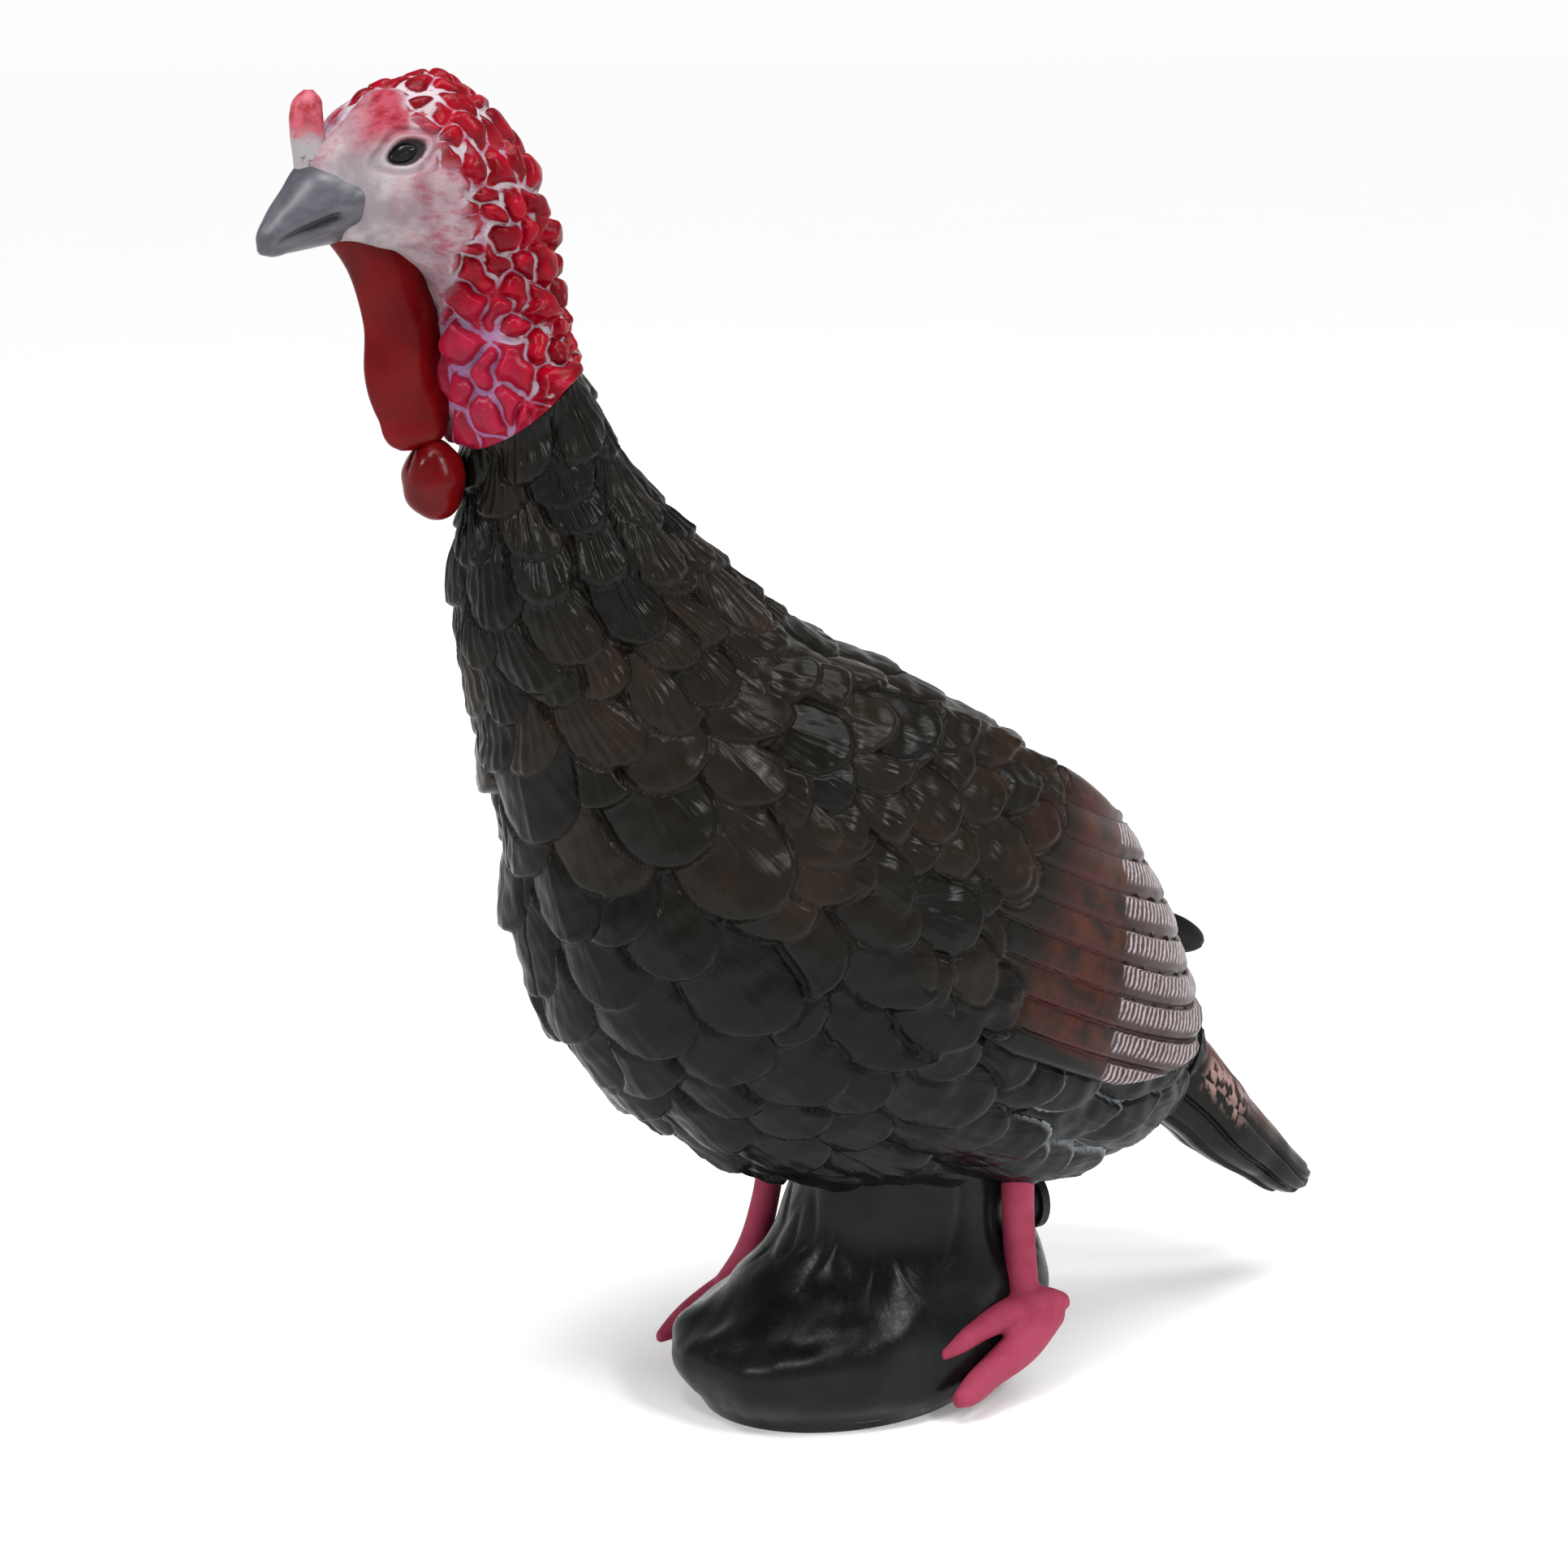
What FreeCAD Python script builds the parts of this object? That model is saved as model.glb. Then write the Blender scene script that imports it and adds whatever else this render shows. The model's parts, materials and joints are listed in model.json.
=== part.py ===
"""Hen turkey decoy standing on a moulded rock: hollow two-piece body, turning head, pull-out tail.

The bird faces -Y with its left side towards +X.  The floor is Z = 0 and the origin is on the floor
under the middle of the rock.  All sizes are millimetres.
"""
import os

import FreeCAD
import Part

os.makedirs("parts", exist_ok=True)
doc = FreeCAD.newDocument("turkey_decoy")

# ---------------------------------------------------------------------------------------------
# Sizes
# ---------------------------------------------------------------------------------------------
# A station is one elliptical cross-section: centre y and z, half height in the bird's middle
# plane, half width across the bird, and slope of the section from the floor in degrees.
BODY_STATIONS = [
    ("neck_top", -153.6, 507.3, 32.0, 32.0, 38.0),
    ("neck_upper", -142.2, 470.9, 40.0, 37.0, 17.3),
    ("neck_lower", -132.0, 434.2, 56.0, 49.5, 16.5),
    ("shoulder", -114.0, 402.7, 68.0, 57.5, 18.5),
    ("breast_top", -90.4, 365.0, 84.0, 68.0, 19.5),
    ("breast_upper", -64.5, 333.6, 103.0, 82.5, 21.5),
    ("breast_full", -40.0, 299.8, 123.0, 94.7, 21.8),
    ("trunk_front", -10.4, 262.2, 137.0, 102.5, 22.8),
    ("trunk_middle", 22.8, 220.6, 134.5, 102.0, 24.4),
    ("trunk_rear", 62.9, 183.3, 121.5, 95.0, 26.0),
    ("rump_front", 115.2, 150.4, 88.0, 77.0, 28.0),
    ("rump_rear", 169.0, 134.8, 56.5, 54.0, 41.0),
    ("tail_root", 209.3, 136.6, 27.7, 27.7, 48.0),
]
HEAD_STATIONS = [
    ("head_seam", -153.97, 507.77, 32.0, 32.0, 38.0),
    ("nape_low", -160.1, 522.0, 32.0, 29.5, 22.0),
    ("nape_middle", -162.5, 543.4, 29.5, 25.0, 10.0),
    ("nape_high", -165.8, 565.2, 30.0, 24.0, 8.0),
    ("skull_rear", -174.3, 582.0, 35.0, 26.3, 15.0),
    ("skull_low", -188.2, 598.9, 40.3, 29.0, 32.0),
    ("skull_full", -206.1, 612.3, 43.0, 30.0, 50.0),
    ("brow", -228.2, 614.0, 36.0, 22.6, 68.0),
]
BEAK_STATIONS = [
    ("beak_gape", -230.0, 601.0, 21.6, 13.0, 112.0),
    ("beak_base", -243.0, 597.0, 18.8, 18.0, 117.0),
    ("beak_middle", -254.0, 590.0, 13.6, 13.5, 120.0),
    ("beak_front", -264.0, 583.5, 8.6, 8.5, 122.0),
    ("beak_tip", -271.0, 577.8, 2.6, 2.6, 124.0),
]
TAIL_STATIONS = [
    ("tail_1", 209.75, 136.2, 28.5, 27.7, 48.0),
    ("tail_2", 231.0, 117.0, 28.5, 24.0, 48.0),
    ("tail_3", 250.5, 96.5, 27.0, 20.6, 47.0),
    ("tail_4", 275.0, 76.0, 21.0, 15.5, 48.0),
    ("tail_5", 297.0, 58.5, 14.5, 10.5, 50.0),
    ("tail_6", 311.5, 51.5, 6.5, 5.0, 52.0),
]
# Level sections: centre x, y and z, half length along y, half width along x.
ROCK_STATIONS = [
    ("rock_foot", 0.0, 16.0, 0.0, 76.0, 58.0),
    ("rock_low", 0.0, 16.0, 14.0, 86.0, 68.0),
    ("rock_wide", 0.0, 20.0, 34.0, 96.0, 69.0),
    ("rock_slope", 0.0, 40.0, 55.0, 86.0, 62.0),
    ("rock_waist", 0.0, 52.0, 83.0, 70.0, 50.0),
    ("rock_column", 0.0, 50.0, 105.0, 62.0, 48.0),
    ("rock_top", 0.0, 50.0, 150.0, 62.0, 54.0),
]
DEWLAP_STATIONS = [
    ("dewlap_1", 0.0, -225.0, 580.0, 18.0, 7.0),
    ("dewlap_2", 0.0, -210.0, 562.0, 18.0, 6.0),
    ("dewlap_3", 0.0, -208.0, 538.0, 18.0, 5.5),
    ("dewlap_4", 0.0, -206.0, 517.0, 18.0, 5.5),
    ("dewlap_5", 0.0, -204.0, 499.0, 15.0, 6.0),
    ("dewlap_6", 0.0, -206.0, 491.0, 9.0, 4.5),
]
SNOOD_STATIONS = [
    ("snood_1", 0.0, -247.0, 610.0, 8.5, 7.5),
    ("snood_2", 0.0, -247.5, 622.0, 8.0, 7.0),
    ("snood_3", 0.0, -249.0, 632.0, 7.6, 6.6),
    ("snood_4", 0.0, -248.0, 640.0, 5.6, 5.0),
    ("snood_5", 0.0, -247.0, 644.0, 2.5, 2.2),
]
LEFT_SHANK_STATIONS = [
    ("left_shank_1", 45.0, 90.0, 135.0, 7.5, 7.0),
    ("left_shank_2", 48.0, 90.0, 80.0, 7.5, 7.0),
    ("left_shank_3", 53.0, 90.0, 50.0, 8.5, 8.0),
    ("left_shank_4", 56.0, 90.0, 36.0, 9.5, 9.0),
]
RIGHT_SHANK_STATIONS = [
    ("right_shank_1", -51.0, 4.0, 150.0, 7.5, 7.0),
    ("right_shank_2", -53.0, 2.0, 85.0, 7.5, 7.0),
    ("right_shank_3", -58.0, -5.0, 54.0, 8.5, 8.0),
    ("right_shank_4", -62.0, -13.0, 38.0, 9.5, 9.0),
]
# Upright toe sections: centre x, y and z, half height, half width.
LEFT_INNER_TOE = [
    ("left_inner_1", 56.0, 90.0, 45.0, 9.0, 8.0),
    ("left_inner_2", 61.0, 62.0, 43.0, 7.0, 7.0),
    ("left_inner_3", 65.0, 42.0, 38.0, 5.0, 5.0),
    ("left_inner_4", 66.0, 33.0, 35.0, 2.8, 2.8),
]
LEFT_MIDDLE_TOE = [
    ("left_middle_1", 60.0, 107.0, 42.0, 8.0, 6.5),
    ("left_middle_2", 64.0, 88.0, 33.0, 12.0, 9.0),
    ("left_middle_3", 69.0, 62.0, 22.5, 9.0, 8.0),
    ("left_middle_4", 73.0, 44.0, 15.5, 7.0, 6.5),
    ("left_middle_5", 74.0, 36.0, 13.0, 3.5, 3.5),
]
LEFT_HIND_TOE = [
    ("left_hind_1", 58.0, 84.0, 47.0, 8.5, 8.0),
    ("left_hind_2", 60.0, 101.0, 47.0, 7.5, 7.0),
    ("left_hind_3", 60.0, 112.0, 45.0, 4.0, 4.0),
]
RIGHT_MIDDLE_TOE = [
    ("right_middle_1", -62.0, -2.0, 38.0, 10.0, 8.0),
    ("right_middle_2", -67.0, -24.0, 28.0, 8.0, 7.5),
    ("right_middle_3", -68.0, -44.0, 17.0, 6.5, 6.0),
    ("right_middle_4", -66.0, -55.0, 13.0, 3.0, 3.0),
]
RIGHT_OUTER_TOE = [
    ("right_outer_1", -64.0, 0.0, 34.0, 9.0, 7.5),
    ("right_outer_2", -71.0, -12.0, 20.0, 7.0, 6.5),
    ("right_outer_3", -74.0, -27.0, 11.0, 5.0, 5.0),
    ("right_outer_4", -74.0, -35.0, 9.0, 2.8, 2.8),
]
RIGHT_HIND_TOE = [
    ("right_hind_1", -62.0, -12.0, 40.0, 8.5, 7.5),
    ("right_hind_2", -65.0, 8.0, 36.0, 6.5, 6.0),
    ("right_hind_3", -66.0, 20.0, 31.0, 3.5, 3.5),
]
# Outline of a folded wing seen from the side, y then z, starting at the shoulder.
WING_OUTLINE = [
    ("wing_1", -62.0, 396.0),
    ("wing_2", -88.0, 384.0),
    ("wing_3", -97.0, 350.0),
    ("wing_4", -76.0, 296.0),
    ("wing_5", -26.0, 250.0),
    ("wing_6", 44.0, 200.0),
    ("wing_7", 114.0, 166.0),
    ("wing_8", 174.0, 158.0),
    ("wing_9", 198.0, 172.0),
    ("wing_10", 200.0, 196.0),
    ("wing_11", 174.0, 250.0),
    ("wing_12", 142.0, 285.0),
    ("wing_13", 104.0, 317.0),
    ("wing_14", 60.0, 346.0),
    ("wing_15", 10.0, 369.0),
    ("wing_16", -32.0, 388.0),
]
PLAIN_SIZES = [
    ("shell_wall", 4.0, "wall of the two body halves"),
    ("head_wall", 3.0, "wall of the head skin"),
    ("rock_wall", 4.0, "wall of the rock"),
    ("wing_thick", 7.0, "thickness of a wing panel"),
    ("wing_peg_radius", 3.0, "radius of a wing peg"),
    ("wing_peg_bite", 3.5, "depth of a peg in the wing panel"),
    ("plate_thick", 6.0, "thickness of the base plate"),
    ("ledge_thick", 8.0, "height of the inner ledge over the plate"),
    ("ledge_front_hole", 34.0, "radius of the front opening in the ledge"),
    ("ledge_rear_hole", 31.0, "radius of the rear opening in the ledge"),
    ("plate_screw_radius", 2.0, "radius of a base plate screw"),
    ("plate_screw_head", 4.0, "radius of its head"),
    ("plate_screw_top", 13.0, "height reached by the screw tip"),
    ("sleeve_bore", 6.5, "radius of a stake bore"),
    ("sleeve_radius", 9.0, "outside radius of a stake sleeve"),
    ("sleeve_depth", 44.0, "depth of a stake bore"),
    ("sleeve_top", 48.0, "height of a stake sleeve"),
    ("sleeve_front_y", -38.0, "position of the front sleeve"),
    ("sleeve_rear_y", 86.0, "position of the rear sleeve"),
    ("sand_top", 48.0, "height of the ballast sand"),
    ("post_y", 50.0, "position of the support post"),
    ("post_radius", 12.5, "outside radius of the post"),
    ("post_bore", 10.5, "inside radius of the post"),
    ("post_top", 204.0, "height of the post"),
    ("flange_radius", 26.0, "radius of the post flange"),
    ("flange_thick", 5.0, "thickness of the post flange"),
    ("flange_screw_ring", 20.0, "ring radius of the flange screws"),
    ("flange_screw_radius", 2.0, "radius of a flange screw"),
    ("socket_radius", 16.0, "outside radius of the post socket"),
    ("socket_top", 208.0, "height of the post socket"),
    ("former_thick", 10.0, "thickness of the cross former in the trunk"),
    ("bolt_z", 172.0, "height of the cross bolt"),
    ("bolt_radius", 3.0, "radius of the cross bolt"),
    ("bolt_half_length", 21.0, "half length of the cross bolt"),
    ("bolt_head", 5.5, "radius of the bolt head and nut"),
    ("plug_z", 76.0, "height of the fill plug"),
    ("plug_bore", 12.0, "radius of the fill hole"),
    ("plug_radius", 11.9, "radius of the plug stem"),
    ("plug_neck", 16.5, "outside radius of the fill neck"),
    ("plug_neck_front", 96.0, "inner end of the fill neck"),
    ("plug_neck_rear", 127.0, "outer end of the fill neck"),
    ("plug_head_radius", 15.5, "radius of the plug head"),
    ("plug_head_thick", 4.5, "thickness of the plug head"),
    ("plug_stem", 18.0, "length of the plug stem"),
    ("pin_radius", 2.5, "radius of a leg pin"),
    ("left_pin_y", 90.0, "position of the left leg pin"),
    ("left_pin_z", 45.0, "height of the left leg pin"),
    ("right_pin_y", -6.0, "position of the right leg pin"),
    ("right_pin_z", 50.0, "height of the right leg pin"),
    ("lug_radius", 8.0, "radius of a joining lug inside the body"),
    ("lug_half_length", 12.0, "half length of a pair of lugs"),
    ("lug_inset", 8.0, "lug centre measured in from the outside"),
    ("dowel_radius", 2.5, "radius of a joining dowel"),
    ("dowel_half_length", 10.0, "half length of a joining dowel"),
    ("collar_depth", 14.0, "thickness of the neck collar"),
    ("collar_bore", 16.0, "radius of the collar bore"),
    ("hub_radius", 15.9, "radius of the pivot hub"),
    ("hub_length", 16.2, "length of the pivot hub under its flange"),
    ("stud_radius", 5.0, "radius of the pivot stud"),
    ("stud_length", 14.0, "length of the stud under the hub"),
    ("pivot_flange_radius", 26.0, "radius of the pivot flange"),
    ("pivot_flange_start", 1.2, "height of the flange over the seam"),
    ("pivot_flange_thick", 3.0, "thickness of the pivot flange"),
    ("washer_thick", 1.0, "thickness of the friction washer"),
    ("stop_ring", 21.5, "ring radius of the stop peg"),
    ("stop_radius", 2.0, "radius of the stop peg"),
    ("stop_half_angle", 51.0, "half angle of the stop slot"),
    ("core_top", 34.0, "height of the head core over the seam"),
    ("core_screw_radius", 1.6, "radius of a core screw"),
    ("core_screw_length", 16.0, "length of a core screw"),
    ("tail_slope", 48.0, "slope of the tail seam"),
    ("tang_radius", 10.0, "radius of the tail tang"),
    ("tang_length", 52.0, "length of the tang in front of the seam"),
    ("tail_bore", 10.1, "radius of the tail socket bore"),
    ("tail_socket_radius", 14.0, "outside radius of the tail socket"),
    ("tail_socket_length", 58.0, "length of the tail socket"),
    ("tail_flange_thick", 6.0, "thickness of the socket flange"),
    ("ball_y", -196.5, "wattle ball centre"),
    ("ball_z", 476.0, "wattle ball centre"),
    ("ball_radius", 13.2, "wattle ball half width"),
    ("ball_half_height", 17.0, "wattle ball half height"),
    ("eye_x", 23.0, "eye centre from the middle plane"),
    ("eye_y", -215.0, "eye centre"),
    ("eye_z", 618.0, "eye centre"),
    ("eye_half_length", 8.5, "eye half length"),
    ("eye_half_height", 5.5, "eye half height"),
    ("eye_depth", 5.5, "eye half depth"),
    ("face_y", -222.0, "face centre"),
    ("face_z", 612.5, "face centre"),
    ("face_half_height", 33.5, "face half height"),
    ("face_half_width", 21.0, "face half width"),
    ("face_half_length", 28.0, "face half length"),
    ("groove_radius", 1.3, "radius of the mouth groove"),
    ("crest_radius", 8.0, "radius of the crown caruncle"),
    ("crest_y", -191.0, "crown caruncle centre"),
    ("crest_z", 644.5, "crown caruncle centre"),
    ("finger_length", 79.0, "length of the long primary on the right wing"),
    ("finger_root", 11.0, "radius of the long primary at its root"),
    ("finger_end", 5.0, "radius of the long primary at its end"),
]

sheet = doc.addObject("Spreadsheet::Sheet", "sizes")
next_row = 1


def write_size(alias, value, note):
    """Put one named size on the next free row."""
    global next_row
    sheet.set("A%d" % next_row, alias)
    sheet.set("B%d" % next_row, str(value))
    sheet.set("C%d" % next_row, note)
    sheet.setAlias("B%d" % next_row, alias)
    next_row += 1


def write_stations(stations, fields):
    """Put every number of a list of stations on the sheet as name_field."""
    for station in stations:
        for field, value in zip(fields, station[1:]):
            write_size(station[0] + "_" + field, value, "section")


SLOPED = ("y", "z", "half_height", "half_width", "slope")
LEVEL = ("x", "y", "z", "half_length", "half_width")
UPRIGHT = ("x", "y", "z", "half_height", "half_width")
for table in (BODY_STATIONS, HEAD_STATIONS):
    write_stations(table, SLOPED)
for table in (BEAK_STATIONS, TAIL_STATIONS):
    write_stations(table, ("y", "z", "half_width", "half_height", "slope"))
for table in (ROCK_STATIONS, DEWLAP_STATIONS, SNOOD_STATIONS,
              LEFT_SHANK_STATIONS, RIGHT_SHANK_STATIONS):
    write_stations(table, LEVEL)
for table in (LEFT_INNER_TOE, LEFT_MIDDLE_TOE, LEFT_HIND_TOE,
              RIGHT_MIDDLE_TOE, RIGHT_OUTER_TOE, RIGHT_HIND_TOE):
    write_stations(table, UPRIGHT)
write_stations(WING_OUTLINE, ("y", "z"))
for plain in PLAIN_SIZES:
    write_size(*plain)
doc.recompute()

# ---------------------------------------------------------------------------------------------
# Small helpers
# ---------------------------------------------------------------------------------------------
ALONG_X = "rotation(0; 90; 0)"
ALONG_Y = "rotation(0; 0; -90)"
ALONG_Z = "rotation(0; 0; 0)"
ALONG_NECK = "rotation(0; 0; sizes.neck_top_slope)"
ALONG_TAIL = "rotation(0; 0; sizes.tail_slope - 180)"
nodes = []


def size(alias):
    """Value of one size on the sheet."""
    return float(sheet.get(alias))


def place(thing, x, y, z, turn=ALONG_Z):
    """Bind a position and a direction to the sheet."""
    thing.setExpression("Placement", "placement(vector(%s; %s; %s); %s)" % (x, y, z, turn))
    return thing


def along_neck(distance, sideways="0", forward="0"):
    """Position at a distance over the neck seam, measured square to it."""
    y = "sizes.neck_top_y - (%s) * sin(sizes.neck_top_slope) + (%s) * cos(sizes.neck_top_slope)"
    z = "sizes.neck_top_z + (%s) * cos(sizes.neck_top_slope) + (%s) * sin(sizes.neck_top_slope)"
    return sideways, y % (distance, forward), z % (distance, forward)


def along_tail(distance):
    """Position at a distance behind the tail seam, measured square to it."""
    y = "sizes.tail_root_y + (%s) * sin(sizes.tail_slope)" % distance
    z = "sizes.tail_root_z - (%s) * cos(sizes.tail_slope)" % distance
    return "0", y, z


def cylinder(name, radius, height, spot, turn=ALONG_Z):
    """Cylinder with its radius, height and place bound to the sheet."""
    solid = doc.addObject("Part::Cylinder", name)
    solid.setExpression("Radius", radius)
    solid.setExpression("Height", height)
    return place(solid, spot[0], spot[1], spot[2], turn)


def box(name, length, width, height, spot):
    """Box with its sides and corner bound to the sheet."""
    solid = doc.addObject("Part::Box", name)
    solid.setExpression("Length", length)
    solid.setExpression("Width", width)
    solid.setExpression("Height", height)
    return place(solid, *spot)


def cut(name, base, tool):
    """First solid less the second."""
    result = doc.addObject("Part::Cut", name)
    result.Base = base
    result.Tool = tool
    return result


def cut_all(name, base, tools):
    """First solid less several others, one after another."""
    for number, tool in enumerate(tools[:-1]):
        base = cut("%s_step_%d" % (name, number), base, tool)
    return cut(name, base, tools[-1])


def common(name, base, tool):
    """What two solids share."""
    result = doc.addObject("Part::Common", name)
    result.Base = base
    result.Tool = tool
    return result


def fuse(name, solids):
    """Several solids joined."""
    result = doc.addObject("Part::MultiFuse", name)
    result.Shapes = solids
    return result


def node(label, solid):
    """Keep a solid as a named piece of the decoy."""
    solid.Label = label
    nodes.append(solid)
    return solid


def sloped_ellipse(name, station, grow):
    """Section of the body or head, long way up the middle plane."""
    ring = doc.addObject("Part::Ellipse", name + "_" + station)
    ring.setExpression("MajorRadius", "sizes.%s_half_height + %s" % (station, grow))
    ring.setExpression("MinorRadius", "sizes.%s_half_width + %s" % (station, grow))
    turn = "rotation(90; -sizes.%s_slope; 0)" % station
    return place(ring, "0", "sizes.%s_y" % station, "sizes.%s_z" % station, turn)


def wide_ellipse(name, station, grow):
    """Section of the beak or tail, long way across the bird."""
    ring = doc.addObject("Part::Ellipse", name + "_" + station)
    ring.setExpression("MajorRadius", "sizes.%s_half_width + %s" % (station, grow))
    ring.setExpression("MinorRadius", "sizes.%s_half_height + %s" % (station, grow))
    turn = "rotation(0; 0; sizes.%s_slope)" % station
    return place(ring, "0", "sizes.%s_y" % station, "sizes.%s_z" % station, turn)


def level_ellipse(name, station, grow):
    """Level section with its length fore and aft or across, whichever is longer."""
    ring = doc.addObject("Part::Ellipse", name + "_" + station)
    long_way, short_way, turn = "half_length", "half_width", "rotation(90; 0; 0)"
    if size(station + "_half_width") > size(station + "_half_length"):
        long_way, short_way, turn = "half_width", "half_length", "rotation(0; 0; 0)"
    ring.setExpression("MajorRadius", "sizes.%s_%s + %s" % (station, long_way, grow))
    ring.setExpression("MinorRadius", "sizes.%s_%s + %s" % (station, short_way, grow))
    spot = ["sizes.%s_%s" % (station, axis) for axis in "xyz"]
    return place(ring, spot[0], spot[1], spot[2], turn)


def upright_ellipse(name, station, grow):
    """Upright section of a toe, facing fore and aft."""
    ring = doc.addObject("Part::Ellipse", name + "_" + station)
    ring.setExpression("MajorRadius", "sizes.%s_half_height + %s" % (station, grow))
    ring.setExpression("MinorRadius", "sizes.%s_half_width + %s" % (station, grow))
    spot = ["sizes.%s_%s" % (station, axis) for axis in "xyz"]
    return place(ring, spot[0], spot[1], spot[2], "rotation(90; -90; 0)")


def loft(name, stations, section, grow="0"):
    """Smooth solid through a row of sections, each grown by the same amount."""
    solid = doc.addObject("Part::Loft", name)
    solid.Sections = [section(name, station[0], grow) for station in stations]
    solid.Solid = True
    solid.Ruled = False
    return solid


# ---------------------------------------------------------------------------------------------
# Master shapes
# ---------------------------------------------------------------------------------------------
body_outer = loft("body_outer", BODY_STATIONS, sloped_ellipse)
body_inner = loft("body_inner", BODY_STATIONS, sloped_ellipse, "0 - sizes.shell_wall")
wing_outer = loft("wing_outer", BODY_STATIONS, sloped_ellipse, "sizes.wing_thick")
wing_middle = loft("wing_middle", BODY_STATIONS, sloped_ellipse, "sizes.wing_peg_bite")
skull_outer = loft("skull_outer", HEAD_STATIONS, sloped_ellipse)
head_inner = loft("head_inner", HEAD_STATIONS[:-1], sloped_ellipse, "0 - sizes.head_wall")
face = doc.addObject("Part::Ellipsoid", "face")
face.Angle1 = -90
face.Angle2 = 90
face.setExpression("Radius1", "sizes.face_half_height")
face.setExpression("Radius2", "sizes.face_half_width")
face.setExpression("Radius3", "sizes.face_half_length")
place(face, "0", "sizes.face_y", "sizes.face_z", "rotation(0; 0; -12)")
head_outer = fuse("head_outer", [skull_outer, face])
rock_outer = loft("rock_outer", ROCK_STATIONS, level_ellipse)
rock_inner = loft("rock_inner", ROCK_STATIONS, level_ellipse, "0 - sizes.rock_wall")

# ---------------------------------------------------------------------------------------------
# Solids that several pieces are cut with
# ---------------------------------------------------------------------------------------------
POST = ("0", "sizes.post_y", "sizes.plate_thick")
FRONT_SLEEVE = ("0", "sizes.sleeve_front_y", "0")
REAR_SLEEVE = ("0", "sizes.sleeve_rear_y", "0")
post_solid = cylinder("post_solid", "sizes.post_radius", "sizes.post_top - sizes.plate_thick", POST)
flange_solid = cylinder("flange_solid", "sizes.flange_radius", "sizes.flange_thick", POST)
front_sleeve_solid = cylinder("front_sleeve_solid", "sizes.sleeve_radius", "sizes.sleeve_top",
                              FRONT_SLEEVE)
rear_sleeve_solid = cylinder("rear_sleeve_solid", "sizes.sleeve_radius", "sizes.sleeve_top",
                             REAR_SLEEVE)

PLATE_SCREW_SPOTS = [(36, -22), (-36, -22), (30, 68), (-30, 68)]
plate_screw_solids = []
for number, (x, y) in enumerate(PLATE_SCREW_SPOTS):
    shank = cylinder("plate_shank_%d" % number, "sizes.plate_screw_radius",
                     "sizes.plate_screw_top - 1", (x, y, "1"))
    head = cylinder("plate_head_%d" % number, "sizes.plate_screw_head", "3", (x, y, "0.5"))
    plate_screw_solids += [shank, head]
plate_screws = fuse("plate_screws", plate_screw_solids)
plate_screw_wells = [cylinder("plate_well_%d" % number, "sizes.plate_screw_head", "3.5", (x, y, "0"))
                     for number, (x, y) in enumerate(PLATE_SCREW_SPOTS)]
plate_screw_room = fuse("plate_screw_room", [plate_screws] + plate_screw_wells)

flange_screw_solids = []
for number in range(3):
    across = "sizes.flange_screw_ring * cos(%d)" % (120 * number + 90)
    fore = "sizes.post_y + sizes.flange_screw_ring * sin(%d)" % (120 * number + 90)
    shank = cylinder("flange_shank_%d" % number, "sizes.flange_screw_radius",
                     "sizes.plate_thick + sizes.flange_thick - 1.5", (across, fore, "1.5"))
    head = cylinder("flange_head_%d" % number, "2 * sizes.flange_screw_radius", "2.2",
                    (across, fore, "sizes.plate_thick + sizes.flange_thick"))
    flange_screw_solids += [shank, head]
flange_screws = fuse("flange_screws", flange_screw_solids)

left_pin = cylinder("left_pin", "sizes.pin_radius", "18", ("40", "sizes.left_pin_y", "sizes.left_pin_z"),
                    ALONG_X)
right_pin = cylinder("right_pin", "sizes.pin_radius", "18",
                     ("-60", "sizes.right_pin_y", "sizes.right_pin_z"), ALONG_X)
pin_solids = fuse("pin_solids", [left_pin, right_pin])

LUG_SPOTS = [("neck_lower", -1), ("neck_lower", 1), ("breast_upper", -1), ("breast_full", 1),
             ("trunk_middle", -1), ("trunk_rear", 1), ("rump_rear", -1)]
lugs = []
dowels = []
for station, side in LUG_SPOTS:
    reach = "%d * (sizes.%s_half_height - sizes.lug_inset)" % (side, station)
    y = "sizes.%s_y + %s * cos(sizes.%s_slope)" % (station, reach, station)
    z = "sizes.%s_z + %s * sin(sizes.%s_slope)" % (station, reach, station)
    name = "%s_%s" % (station, "back" if side > 0 else "front")
    lugs.append(cylinder("lug_" + name, "sizes.lug_radius", "2 * sizes.lug_half_length",
                         ("0 - sizes.lug_half_length", y, z), ALONG_X))
    dowels.append(cylinder("dowel_" + name, "sizes.dowel_radius", "2 * sizes.dowel_half_length",
                           ("0 - sizes.dowel_half_length", y, z), ALONG_X))
dowel_solids = fuse("dowel_solids", dowels)

# Position along the bird, height and inner end of each peg.
WING_PEG_SPOTS = [(-45, 335, 68), (25, 285, 80), (120, 225, 62)]
wing_pegs = {}
for side, direction in (("left", 1), ("right", -1)):
    rods = [cylinder("peg_%s_%d" % (side, number), "sizes.wing_peg_radius", "60",
                     (x if direction > 0 else -x - 60, y, z), ALONG_X)
            for number, (y, z, x) in enumerate(WING_PEG_SPOTS)]
    wing_pegs[side] = common("wing_pegs_" + side, fuse("peg_rods_" + side, rods), wing_middle)

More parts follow.
